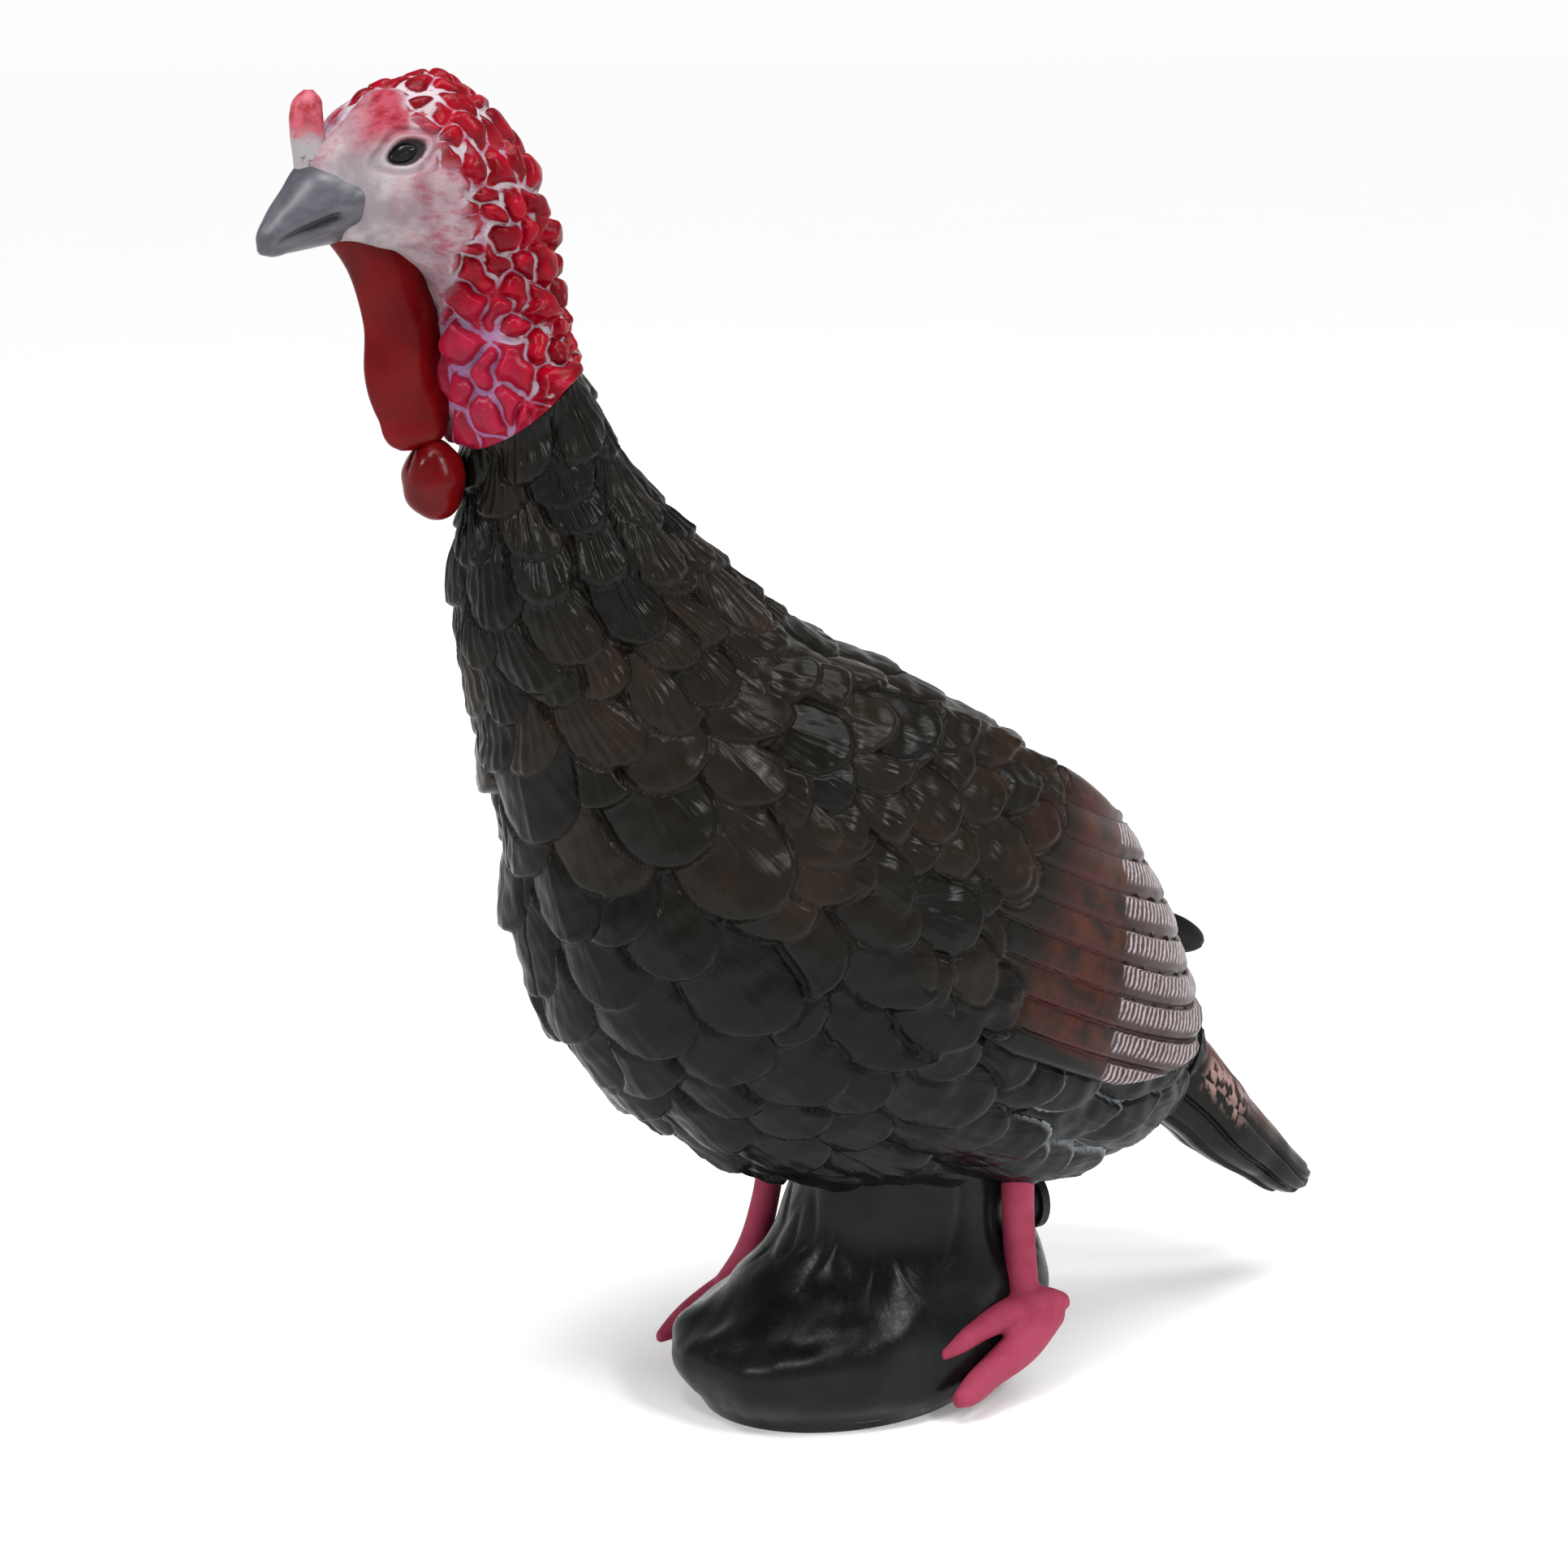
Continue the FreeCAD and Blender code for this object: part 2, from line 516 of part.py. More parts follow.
# ---------------------------------------------------------------------------------------------
# Rock base
# ---------------------------------------------------------------------------------------------
fill_neck = cylinder("fill_neck", "sizes.plug_neck", "sizes.plug_neck_rear - sizes.plug_neck_front",
                     ("0", "sizes.plug_neck_front", "sizes.plug_z"), ALONG_Y)
fill_bore = cylinder("fill_bore", "sizes.plug_bore", "60", ("0", "sizes.plug_neck_front - 5",
                     "sizes.plug_z"), ALONG_Y)
ledge_slab = box("ledge_slab", "300", "300", "sizes.ledge_thick",
                 ("-150", "-150", "sizes.plate_thick"))
ledge_front_hole = cylinder("ledge_front_hole", "sizes.ledge_front_hole", "30", ("0", "-4", "0"))
ledge_rear_hole = cylinder("ledge_rear_hole", "sizes.ledge_rear_hole", "30", ("0", "sizes.post_y", "0"))
ledge = cut_all("ledge", ledge_slab, [ledge_front_hole, ledge_rear_hole])
rock_hollow = cut_all("rock_hollow", rock_inner, [ledge, fill_neck])
rock_with_neck = fuse("rock_with_neck", [rock_outer, fill_neck])
node("base_shell", cut_all("base_shell", rock_with_neck,
                           [rock_hollow, body_outer, fill_bore, front_sleeve_solid,
                            rear_sleeve_solid, plate_screw_room, pin_solids]))

plate_slab = box("plate_slab", "300", "300", "sizes.plate_thick", ("-150", "-150", "0"))
plate_blank = common("plate_blank", rock_inner, plate_slab)
node("base_plate", cut_all("base_plate", plate_blank,
                           [front_sleeve_solid, rear_sleeve_solid, plate_screw_room, flange_screws]))
node("base_plate_screws", plate_screws)

for end, solid, spot in (("front", front_sleeve_solid, FRONT_SLEEVE),
                         ("rear", rear_sleeve_solid, REAR_SLEEVE)):
    bore = cylinder("stake_bore_" + end, "sizes.sleeve_bore", "sizes.sleeve_depth", spot)
    node("stake_sleeve_" + end, cut("stake_sleeve_" + end, solid, bore))

sand_slab = box("sand_slab", "300", "300", "sizes.sand_top - sizes.plate_thick",
                ("-150", "-150", "sizes.plate_thick"))
sand_blank = common("sand_blank", rock_hollow, sand_slab)
node("ballast_sand", cut_all("ballast_sand", sand_blank,
                             [front_sleeve_solid, rear_sleeve_solid, flange_solid, post_solid,
                              flange_screws, plate_screws, pin_solids]))

plug_head = cylinder("plug_head", "sizes.plug_head_radius", "sizes.plug_head_thick",
                     ("0", "sizes.plug_neck_rear + 0.3", "sizes.plug_z"), ALONG_Y)
plug_stem = cylinder("plug_stem", "sizes.plug_radius", "sizes.plug_stem + 1",
                     ("0", "sizes.plug_neck_rear + 0.3 - sizes.plug_stem", "sizes.plug_z"), ALONG_Y)
node("fill_plug", fuse("fill_plug", [plug_head, plug_stem]))

# ---------------------------------------------------------------------------------------------
# Post that carries the bird
# ---------------------------------------------------------------------------------------------
bolt_shank = cylinder("bolt_shank", "sizes.bolt_radius", "2 * sizes.bolt_half_length",
                      ("0", "sizes.post_y - sizes.bolt_half_length", "sizes.bolt_z"), ALONG_Y)
post_bore = cylinder("post_bore", "sizes.post_bore", "sizes.post_top", ("0", "sizes.post_y", "0"))
post_tools = fuse("post_tools", [post_bore, bolt_shank])
node("support_post", cut("support_post", post_solid, post_tools))
flange_tools = fuse("flange_tools", [post_solid, flange_screws])
node("post_flange", cut("post_flange", flange_solid, flange_tools))
node("flange_screws", flange_screws)

socket_solid = cylinder("socket_solid", "sizes.socket_radius", "sizes.socket_top",
                        ("0", "sizes.post_y", "0"))
socket_inside = common("socket_inside", socket_solid, body_inner)
socket_tools = fuse("socket_tools", [post_solid, bolt_shank])
node("post_socket", cut("post_socket", socket_inside, socket_tools))
bolt_head = cylinder("bolt_head", "sizes.bolt_head", "3.5",
                     ("0", "sizes.post_y - sizes.socket_radius - 3.5", "sizes.bolt_z"), ALONG_Y)
node("cross_bolt", fuse("cross_bolt", [bolt_shank, bolt_head]))
nut_solid = doc.addObject("Part::Prism", "nut_solid")
nut_solid.Polygon = 6
nut_solid.setExpression("Circumradius", "sizes.bolt_head")
nut_solid.Height = 3.5
place(nut_solid, "0", "sizes.post_y + sizes.socket_radius", "sizes.bolt_z", ALONG_Y)
node("cross_nut", cut("cross_nut", nut_solid, bolt_shank))

former_slab = box("former_slab", "300", "sizes.former_thick", "500",
                  ("-150", "sizes.post_y - sizes.former_thick / 2", "0"))
former_blank = common("former_blank", body_inner, former_slab)
former_tools = fuse("former_tools", [socket_solid] + lugs)
node("trunk_former", cut("trunk_former", former_blank, former_tools))

# ---------------------------------------------------------------------------------------------
# Legs
# ---------------------------------------------------------------------------------------------


def leg(side, shank, toes):
    """Shank and toes, trimmed where they meet the rock and the belly."""
    pieces = [loft(side + "_shank", shank, level_ellipse)]
    pieces += [loft("%s_toe_%d" % (side, number), toe, upright_ellipse)
               for number, toe in enumerate(toes)]
    whole = fuse(side + "_leg_whole", pieces)
    return node("leg_" + side, cut_all("leg_" + side, whole, [body_outer, rock_outer, pin_solids]))


leg("left", LEFT_SHANK_STATIONS, [LEFT_INNER_TOE, LEFT_MIDDLE_TOE, LEFT_HIND_TOE])
leg("right", RIGHT_SHANK_STATIONS, [RIGHT_MIDDLE_TOE, RIGHT_OUTER_TOE, RIGHT_HIND_TOE])
node("leg_pins", pin_solids)

# ---------------------------------------------------------------------------------------------
# Body halves
# ---------------------------------------------------------------------------------------------
body_hollow = cut("body_hollow", body_inner, fuse("lug_solids", lugs))
body_whole = cut_all("body_whole", body_outer,
                     [body_hollow, dowel_solids, post_solid, wing_pegs["left"], wing_pegs["right"]])
for side, start in (("left", "0"), ("right", "-200")):
    half_space = box("half_space_" + side, "200", "700", "700", (start, "-350", "0"))
    node("body_shell_" + side, common("body_shell_" + side, body_whole, half_space))
node("shell_dowels", dowel_solids)

# ---------------------------------------------------------------------------------------------
# Folded wings
# ---------------------------------------------------------------------------------------------
wing_edge = doc.addObject("Part::Polygon", "wing_edge")
wing_edge.Nodes = [FreeCAD.Vector(0, size(name + "_y"), size(name + "_z"))
                   for name, _, _ in WING_OUTLINE]
wing_edge.Close = True


def wing_blank(side, direction):
    """Part of the grown body inside the wing outline on one side."""
    prism = doc.addObject("Part::Extrusion", "wing_prism_" + side)
    prism.Base = wing_edge
    prism.DirMode = "Custom"
    prism.Dir = FreeCAD.Vector(direction, 0, 0)
    prism.LengthFwd = 150
    prism.Solid = True
    side_space = box("side_space_" + side, "130", "700", "700",
                     ("20" if direction > 0 else "-150", "-350", "0"))
    return common("wing_blank_" + side, common("wing_slice_" + side, wing_outer, prism), side_space)


node("wing_left", cut_all("wing_left", wing_blank("left", 1), [body_outer, wing_pegs["left"]]))

finger = doc.addObject("Part::Cone", "long_primary")
finger.setExpression("Radius1", "sizes.finger_root")
finger.setExpression("Radius2", "sizes.finger_end")
finger.setExpression("Height", "sizes.finger_length")
place(finger, "-37", "176", "212", "rotation(0; 0; -112.5)")
right_blank = fuse("wing_right_blank", [wing_blank("right", -1), finger])
node("wing_right", cut_all("wing_right", right_blank, [body_outer, wing_pegs["right"]]))
node("wing_pegs_left", wing_pegs["left"])
node("wing_pegs_right", wing_pegs["right"])

# ---------------------------------------------------------------------------------------------
# Tail and its socket
# ---------------------------------------------------------------------------------------------
tail_slab = cylinder("tail_slab", "60", "sizes.tail_flange_thick + 2",
                     along_tail("0 - sizes.tail_flange_thick"), ALONG_TAIL)
tail_flange = common("tail_flange", body_inner, tail_slab)
tail_tube = cylinder("tail_tube", "sizes.tail_socket_radius", "sizes.tail_socket_length",
                     along_tail("0 - sizes.tail_socket_length"), ALONG_TAIL)
tail_bore = cylinder("tail_bore", "sizes.tail_bore", "sizes.tail_socket_length",
                     along_tail("4 - sizes.tail_socket_length"), ALONG_TAIL)
tail_socket_solid = fuse("tail_socket_solid", [tail_flange, tail_tube])
node("tail_socket", cut("tail_socket", tail_socket_solid, tail_bore))
tail_fan = loft("tail_fan", TAIL_STATIONS, wide_ellipse)
tang = cylinder("tang", "sizes.tang_radius", "sizes.tang_length + 12",
                along_tail("0 - sizes.tang_length"), ALONG_TAIL)
node("tail", fuse("tail", [tail_fan, tang]))

# ---------------------------------------------------------------------------------------------
# Neck pivot
# ---------------------------------------------------------------------------------------------
collar_slab = cylinder("collar_slab", "60", "sizes.collar_depth + 2",
                       along_neck("0 - sizes.collar_depth"), ALONG_NECK)
stop_peg = cylinder("stop_peg", "sizes.stop_radius", "10",
                    along_neck("-6.3", forward="sizes.stop_ring"), ALONG_NECK)
collar_bore = cylinder("collar_bore", "sizes.collar_bore", "40", along_neck("-20"), ALONG_NECK)
collar_tools = fuse("collar_tools", [collar_bore, stop_peg])
collar_blank = common("collar_blank", body_inner, collar_slab)
node("neck_collar", cut("neck_collar", collar_blank, collar_tools))
node("stop_peg", stop_peg)
washer_solid = cylinder("washer_solid", "sizes.pivot_flange_radius", "sizes.washer_thick",
                        along_neck("0"), ALONG_NECK)
node("friction_washer", cut("friction_washer", washer_solid, collar_tools))

flange_disc = cylinder("flange_disc", "sizes.pivot_flange_radius", "sizes.pivot_flange_thick",
                       along_neck("sizes.pivot_flange_start"), ALONG_NECK)
hub = cylinder("hub", "sizes.hub_radius", "sizes.hub_length + 1",
               along_neck("sizes.pivot_flange_start - sizes.hub_length"), ALONG_NECK)
STUD_END = "sizes.pivot_flange_start - sizes.hub_length - sizes.stud_length"
stud = cylinder("stud", "sizes.stud_radius", "sizes.stud_length + 1", along_neck(STUD_END), ALONG_NECK)
slot_outer = cylinder("slot_outer", "sizes.stop_ring + sizes.stop_radius + 0.6", "8",
                      along_neck("-1"), "rotation(0; 0; sizes.neck_top_slope) * "
                      "rotation(90 - sizes.stop_half_angle; 0; 0)")
slot_outer.setExpression("Angle", "2 * sizes.stop_half_angle")
slot_inner = cylinder("slot_inner", "sizes.stop_ring - sizes.stop_radius - 0.6", "12",
                      along_neck("-3"), ALONG_NECK)
stop_slot = cut("stop_slot", slot_outer, slot_inner)
core_screw_solids = []
for number, angle in enumerate((170, 270, 370)):
    across = "sizes.stop_ring * cos(%d)" % angle
    ahead = "sizes.stop_ring * sin(%d)" % angle
    core_screw_solids.append(cylinder("core_screw_%d" % number, "sizes.core_screw_radius",
                                      "sizes.core_screw_length",
                                      along_neck("sizes.pivot_flange_start + 0.2", across, ahead),
                                      ALONG_NECK))
core_screws = fuse("core_screws", core_screw_solids)
pivot_tools = fuse("pivot_tools", [stop_slot, core_screws])
pivot_solid = fuse("pivot_solid", [flange_disc, hub, stud])
node("head_pivot", cut("head_pivot", pivot_solid, pivot_tools))
node("core_screws", core_screws)

WASHER_TOP = "sizes.pivot_flange_start - sizes.hub_length"
pivot_washer_disc = cylinder("pivot_washer_disc", "22", "2", along_neck(WASHER_TOP + " - 2"),
                             ALONG_NECK)
node("pivot_washer", cut("pivot_washer", pivot_washer_disc, stud))
pivot_nut_solid = doc.addObject("Part::Prism", "pivot_nut_solid")
pivot_nut_solid.Polygon = 6
pivot_nut_solid.Circumradius = 9.5
pivot_nut_solid.Height = 7
place(pivot_nut_solid, *along_neck(WASHER_TOP + " - 9"), turn=ALONG_NECK)
node("pivot_nut", cut("pivot_nut", pivot_nut_solid, stud))

# ---------------------------------------------------------------------------------------------
# Head
# ---------------------------------------------------------------------------------------------


def eye_solid(side, direction):
    """Almond eye set in the side of the skull."""
    ball = doc.addObject("Part::Ellipsoid", "eye_solid_" + side)
    ball.Angle1 = -90
    ball.Angle2 = 90
    ball.setExpression("Radius1", "sizes.eye_half_height")
    ball.setExpression("Radius2", "sizes.eye_depth")
    ball.setExpression("Radius3", "sizes.eye_half_length")
    return place(ball, "%d * sizes.eye_x" % direction, "sizes.eye_y", "sizes.eye_z")


eyes = {"left": eye_solid("left", 1), "right": eye_solid("right", -1)}
crest = doc.addObject("Part::Sphere", "crest")
crest.setExpression("Radius", "sizes.crest_radius")
place(crest, "0", "sizes.crest_y", "sizes.crest_z")
head_solid = fuse("head_solid", [head_outer, crest])
node("head_skin", cut_all("head_skin", head_solid, [head_inner, eyes["left"], eyes["right"]]))

core_slab = cylinder("core_slab", "60",
                     "sizes.core_top - sizes.pivot_flange_start - sizes.pivot_flange_thick",
                     along_neck("sizes.pivot_flange_start + sizes.pivot_flange_thick"), ALONG_NECK)
core_blank = common("core_blank", head_inner, core_slab)
node("head_core", cut("head_core", core_blank, core_screws))
node("eye_left", eyes["left"])
node("eye_right", eyes["right"])

beak_solid = loft("beak_solid", BEAK_STATIONS, wide_ellipse)
grooves = []
for side, direction in (("left", 1), ("right", -1)):
    groove = doc.addObject("Part::Cylinder", "groove_" + side)
    groove.setExpression("Radius", "sizes.groove_radius")
    groove.Height = 34
    place(groove, "%d * 19.5" % direction, "-233", "599.5",
          "rotation(vector(%s; %s; 0); 122)" % (0.84, -0.38 * direction))
    grooves.append(groove)
node("beak", cut_all("beak", beak_solid, [head_outer] + grooves))

snood_solid = loft("snood_solid", SNOOD_STATIONS, level_ellipse)
node("snood", cut_all("snood", snood_solid, [head_outer, beak_solid]))

dewlap_solid = loft("dewlap_solid", DEWLAP_STATIONS, level_ellipse)
node("dewlap", cut_all("dewlap", dewlap_solid, [head_outer, beak_solid]))
ball_solid = doc.addObject("Part::Ellipsoid", "ball_solid")
ball_solid.Angle1 = -90
ball_solid.Angle2 = 90
ball_solid.setExpression("Radius1", "sizes.ball_half_height")
ball_solid.setExpression("Radius2", "sizes.ball_radius")
ball_solid.setExpression("Radius3", "sizes.ball_radius")
place(ball_solid, "0", "sizes.ball_y", "sizes.ball_z")
node("wattle_ball", cut_all("wattle_ball", ball_solid, [dewlap_solid, head_outer]))

# ---------------------------------------------------------------------------------------------
# Recompute, check and write
# ---------------------------------------------------------------------------------------------
doc.recompute()
faults = []
for thing in doc.Objects:
    if "Invalid" in thing.State or "Error" in thing.State:
        faults.append("%s is %s" % (thing.Name, thing.State))
for piece in nodes:
    if piece.Shape.isNull() or not piece.Shape.isValid() or not piece.Shape.Solids:
        faults.append("%s has no valid solid" % piece.Label)
if faults:
    raise RuntimeError("; ".join(faults))
for piece in nodes:
    piece.Shape.exportStep(os.path.join("parts", piece.Label + ".step"))
    print("%-20s solids %d  volume %.0f" % (piece.Label, len(piece.Shape.Solids), piece.Shape.Volume))
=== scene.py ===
"""Blender scene of the hen turkey decoy: feathered body, wings and tail, painted head and legs, rock."""
import json
import math

import bpy
import numpy as np
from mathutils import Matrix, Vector


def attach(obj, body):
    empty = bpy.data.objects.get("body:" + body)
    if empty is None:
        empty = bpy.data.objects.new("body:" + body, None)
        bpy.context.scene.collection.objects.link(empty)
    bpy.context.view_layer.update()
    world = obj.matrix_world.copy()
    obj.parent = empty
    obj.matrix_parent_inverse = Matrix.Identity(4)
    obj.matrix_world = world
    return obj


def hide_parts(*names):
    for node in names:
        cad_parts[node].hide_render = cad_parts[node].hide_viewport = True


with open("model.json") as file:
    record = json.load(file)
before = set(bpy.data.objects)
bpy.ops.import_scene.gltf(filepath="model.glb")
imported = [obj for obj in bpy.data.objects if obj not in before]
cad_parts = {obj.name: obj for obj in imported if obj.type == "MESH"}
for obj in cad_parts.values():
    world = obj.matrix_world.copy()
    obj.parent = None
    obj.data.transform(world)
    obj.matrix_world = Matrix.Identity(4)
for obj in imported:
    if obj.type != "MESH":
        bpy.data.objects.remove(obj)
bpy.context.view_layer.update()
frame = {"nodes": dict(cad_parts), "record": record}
COARSE = 1

# ---- Shape of the bird ----
# All in millimetres.  A station is a section of the body: centre y and z, half height in the middle
# plane, half width, and the slope of the section in degrees.
BODY = np.array([
    (-153.6, 507.3, 32.0, 32.0, 38.0),
    (-142.2, 470.9, 40.0, 37.0, 17.3),
    (-132.0, 434.2, 56.0, 49.5, 16.5),
    (-114.0, 402.7, 68.0, 57.5, 18.5),
    (-90.4, 365.0, 84.0, 68.0, 19.5),
    (-64.5, 333.6, 103.0, 82.5, 21.5),
    (-40.0, 299.8, 123.0, 94.7, 21.8),
    (-10.4, 262.2, 137.0, 102.5, 22.8),
    (22.8, 220.6, 134.5, 102.0, 24.4),
    (62.9, 183.3, 121.5, 95.0, 26.0),
    (115.2, 150.4, 88.0, 77.0, 28.0),
    (169.0, 134.8, 56.5, 54.0, 41.0),
    (209.3, 136.6, 27.7, 27.7, 48.0),
])
HEAD = np.array([
    (-153.97, 507.77, 31.6, 31.6, 38.0),
    (-160.1, 522.0, 32.0, 29.5, 22.0),
    (-162.5, 543.4, 29.5, 25.0, 10.0),
    (-165.8, 565.2, 30.0, 24.0, 8.0),
    (-174.3, 582.0, 35.0, 26.3, 15.0),
    (-188.2, 598.9, 40.3, 29.0, 32.0),
    (-206.1, 612.3, 43.0, 30.0, 50.0),
    (-228.2, 614.0, 36.0, 23.0, 68.0),
    (-241.4, 608.0, 25.5, 16.5, 80.0),
    (-249.5, 603.5, 15.0, 10.0, 86.0),
    (-253.5, 601.0, 4.0, 3.0, 90.0),
])
TAIL = np.array([
    (209.75, 136.2, 27.7, 28.5, 48.0),
    (231.0, 117.0, 24.0, 28.5, 48.0),
    (250.5, 96.5, 20.6, 27.0, 47.0),
    (275.0, 76.0, 15.5, 21.0, 48.0),
    (297.0, 58.5, 10.5, 14.5, 50.0),
    (311.5, 51.5, 5.0, 6.5, 52.0),
])
BEAK = np.array([
    (-230.0, 601.0, 13.0, 21.6, 112.0),
    (-243.0, 597.0, 18.0, 18.8, 117.0),
    (-254.0, 590.0, 13.5, 13.6, 120.0),
    (-264.0, 583.5, 8.5, 8.6, 122.0),
    (-270.0, 578.6, 4.2, 4.2, 124.0),
    (-272.0, 577.0, 1.2, 1.2, 124.0),
])
# Level sections of the rock: centre y, height, half length and half width.
ROCK = np.array([
    (16.0, 0.0, 76.0, 58.0),
    (16.0, 14.0, 86.0, 68.0),
    (20.0, 34.0, 96.0, 69.0),
    (40.0, 55.0, 86.0, 62.0),
    (52.0, 83.0, 70.0, 50.0),
    (50.0, 105.0, 62.0, 48.0),
    (50.0, 150.0, 62.0, 54.0),
])
# Level sections of the dewlap and snood: centre y, height, half length and half thickness.
DEWLAP = np.array([
    (-226.0, 584.0, 17.5, 6.8),
    (-214.0, 566.0, 16.5, 6.0),
    (-209.0, 545.0, 17.0, 5.4),
    (-206.5, 522.0, 18.0, 5.3),
    (-205.0, 503.0, 16.5, 5.4),
    (-206.0, 493.0, 11.0, 4.4),
    (-207.0, 489.5, 4.0, 2.0),
])
SNOOD = np.array([
    (-246.5, 606.0, 8.0, 7.0),
    (-247.0, 616.0, 8.2, 7.0),
    (-248.5, 626.0, 7.8, 6.4),
    (-249.0, 634.0, 7.2, 6.2),
    (-248.0, 640.5, 5.2, 4.8),
    (-247.4, 643.4, 2.0, 2.0),
])


# ---- Curves and surfaces ----
def smooth(x, low, high):
    """0 under low, 1 over high and a smooth step between."""
    t = np.clip((x - low) / (high - low), 0.0, 1.0)
    return t * t * (3.0 - 2.0 * t)


def fall(x, low, high):
    """1 under low, 0 over high and a smooth step between."""
    return smooth(-x, -high, -low)


def bell(x, middle, width):
    """1 at the middle, fading to 0 about two widths away."""
    return np.exp(-((x - middle) / width) ** 2)


def path_lengths(stations, columns=(0, 1)):
    """Distance along the row of station centres."""
    points = stations[:, columns]
    steps = np.linalg.norm(np.diff(points, axis=0), axis=1)
    return np.concatenate([[0.0], np.cumsum(steps)])


def through(knots, values, at):
    """Smooth curve through values at knots, with the slope at each knot taken from its neighbours."""
    slopes = np.gradient(values, knots, axis=0)
    place = np.clip(np.searchsorted(knots, at) - 1, 0, len(knots) - 2)
    span = knots[place + 1] - knots[place]
    t = (at - knots[place]) / span
    if values.ndim > 1:
        t, span = t[:, None], span[:, None]
    return ((2 * t**3 - 3 * t**2 + 1) * values[place] + (t**3 - 2 * t**2 + t) * span * slopes[place]
            + (-2 * t**3 + 3 * t**2) * values[place + 1] + (t**3 - t**2) * span * slopes[place + 1])


def ellipse_angles(a, b, shares):
    """Angles that cut each half ellipse into equal lengths, and the length of each half."""
    fine = np.linspace(0.0, np.pi, 181)
    step = np.sqrt((a[:, None] * np.sin(fine)) ** 2 + (b[:, None] * np.cos(fine)) ** 2)
    run = np.zeros_like(step)
    run[:, 1:] = np.cumsum((step[:, 1:] + step[:, :-1]) / 2 * (fine[1] - fine[0]), axis=1)
    angles = np.array([np.interp(shares * row[-1], row, fine) for row in run])
    return angles, run[:, -1]


def sloped_sheet(stations, s, phi, grow=0.0):
    """Points of a body-like surface.  phi runs from 0 on the back to 1 on the breast, signed by side."""
    knots = path_lengths(stations)
    rows = through(knots, stations, s)
    y, z, a, b, slope = rows.T
    a, b = a + grow, b + grow
    slope = np.radians(slope)
    angles, half = ellipse_angles(a, b, np.abs(phi))
    angles = angles * np.where(phi < 0, -1.0, 1.0)
    up = a[:, None] * np.cos(angles)
    points = np.stack([b[:, None] * np.sin(angles),
                       y[:, None] + up * np.cos(slope)[:, None],
                       z[:, None] + up * np.sin(slope)[:, None]], axis=-1)
    return points, half


def level_sheet(stations, s, phi, grow=0.0):
    """Points of an upright surface made of level sections.  phi runs once round from 0 to 1."""
    knots = path_lengths(stations)
    y, z, a, b = through(knots, stations, s).T
    angles = phi * 2 * np.pi
    return np.stack([(b + grow)[:, None] * np.sin(angles),
                     y[:, None] + (a + grow)[:, None] * np.cos(angles),
                     z[:, None] + 0 * angles], axis=-1)


def normals(points, outward):
    """Unit normals of a grid of points, turned the way of outward."""
    along = np.gradient(points, axis=0)
    across = np.gradient(points, axis=1)
    n = np.cross(along, across)
    n /= np.maximum(np.linalg.norm(n, axis=-1, keepdims=True), 1e-9)
    turn = np.sign(np.sum(n * outward, axis=-1, keepdims=True))
    return n * np.where(turn == 0, 1.0, turn)


def from_middle(rings):
    """Vectors from the middle of each ring of points."""
    return rings - rings.mean(axis=1, keepdims=True)


def round_sheet(stations, rows, columns, grow=0.0):
    """Distances, turns, points, half girths and normals of a sheet that goes once round the stations."""
    s = np.linspace(0.0, path_lengths(stations)[-1], rows // COARSE)
    phi = np.linspace(-1.0, 1.0, columns // COARSE, endpoint=False)
    base, half = sloped_sheet(stations, s, phi, grow)
    return s, phi, base, half, normals(base, from_middle(base))


def panel_size(rows, columns):
    """Points along and across a panel, one more than a multiple of the step of closed_sheet."""
    return tuple(4 * count // COARSE // 4 * 4 + 1 for count in (rows, columns))


# ---- Meshes ----
def linked(name, data):
    """New object in the scene."""
    thing = bpy.data.objects.new(name, data)
    bpy.context.scene.collection.objects.link(thing)
    return thing


def mesh_piece(name, surface, material, body, nodes, marks=None):
    """Object from millimetre points and faces that rides on a body and stands for CAD nodes."""
    points, faces = surface
    mesh = bpy.data.meshes.new(name)
    mesh.from_pydata([tuple(p) for p in np.asarray(points) * 0.001], [], faces)
    for key, values in padded_marks(marks or {}, len(points)).items():
        layer = mesh.attributes.new(key, "FLOAT", "POINT")
        layer.data.foreach_set("value", np.asarray(values, dtype=np.float32))
    mesh.polygons.foreach_set("use_smooth", [True] * len(mesh.polygons))
    mesh.materials.append(material)
    mesh.update()
    thing = linked(name, mesh)
    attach(thing, body)
    if nodes:
        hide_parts(*nodes)
    return thing


def grid_faces(rows, columns, start=0, wrap=False, flip=False):
    """Quads of a grid whose points are numbered row by row."""
    i, j = np.meshgrid(np.arange(rows - 1), np.arange(columns if wrap else columns - 1), indexing="ij")
    k = (j + 1) % columns
    quads = np.stack([i * columns + j, i * columns + k, (i + 1) * columns + k, (i + 1) * columns + j],
                     axis=-1).reshape(-1, 4) + start
    return (quads[:, ::-1] if flip else quads).tolist()


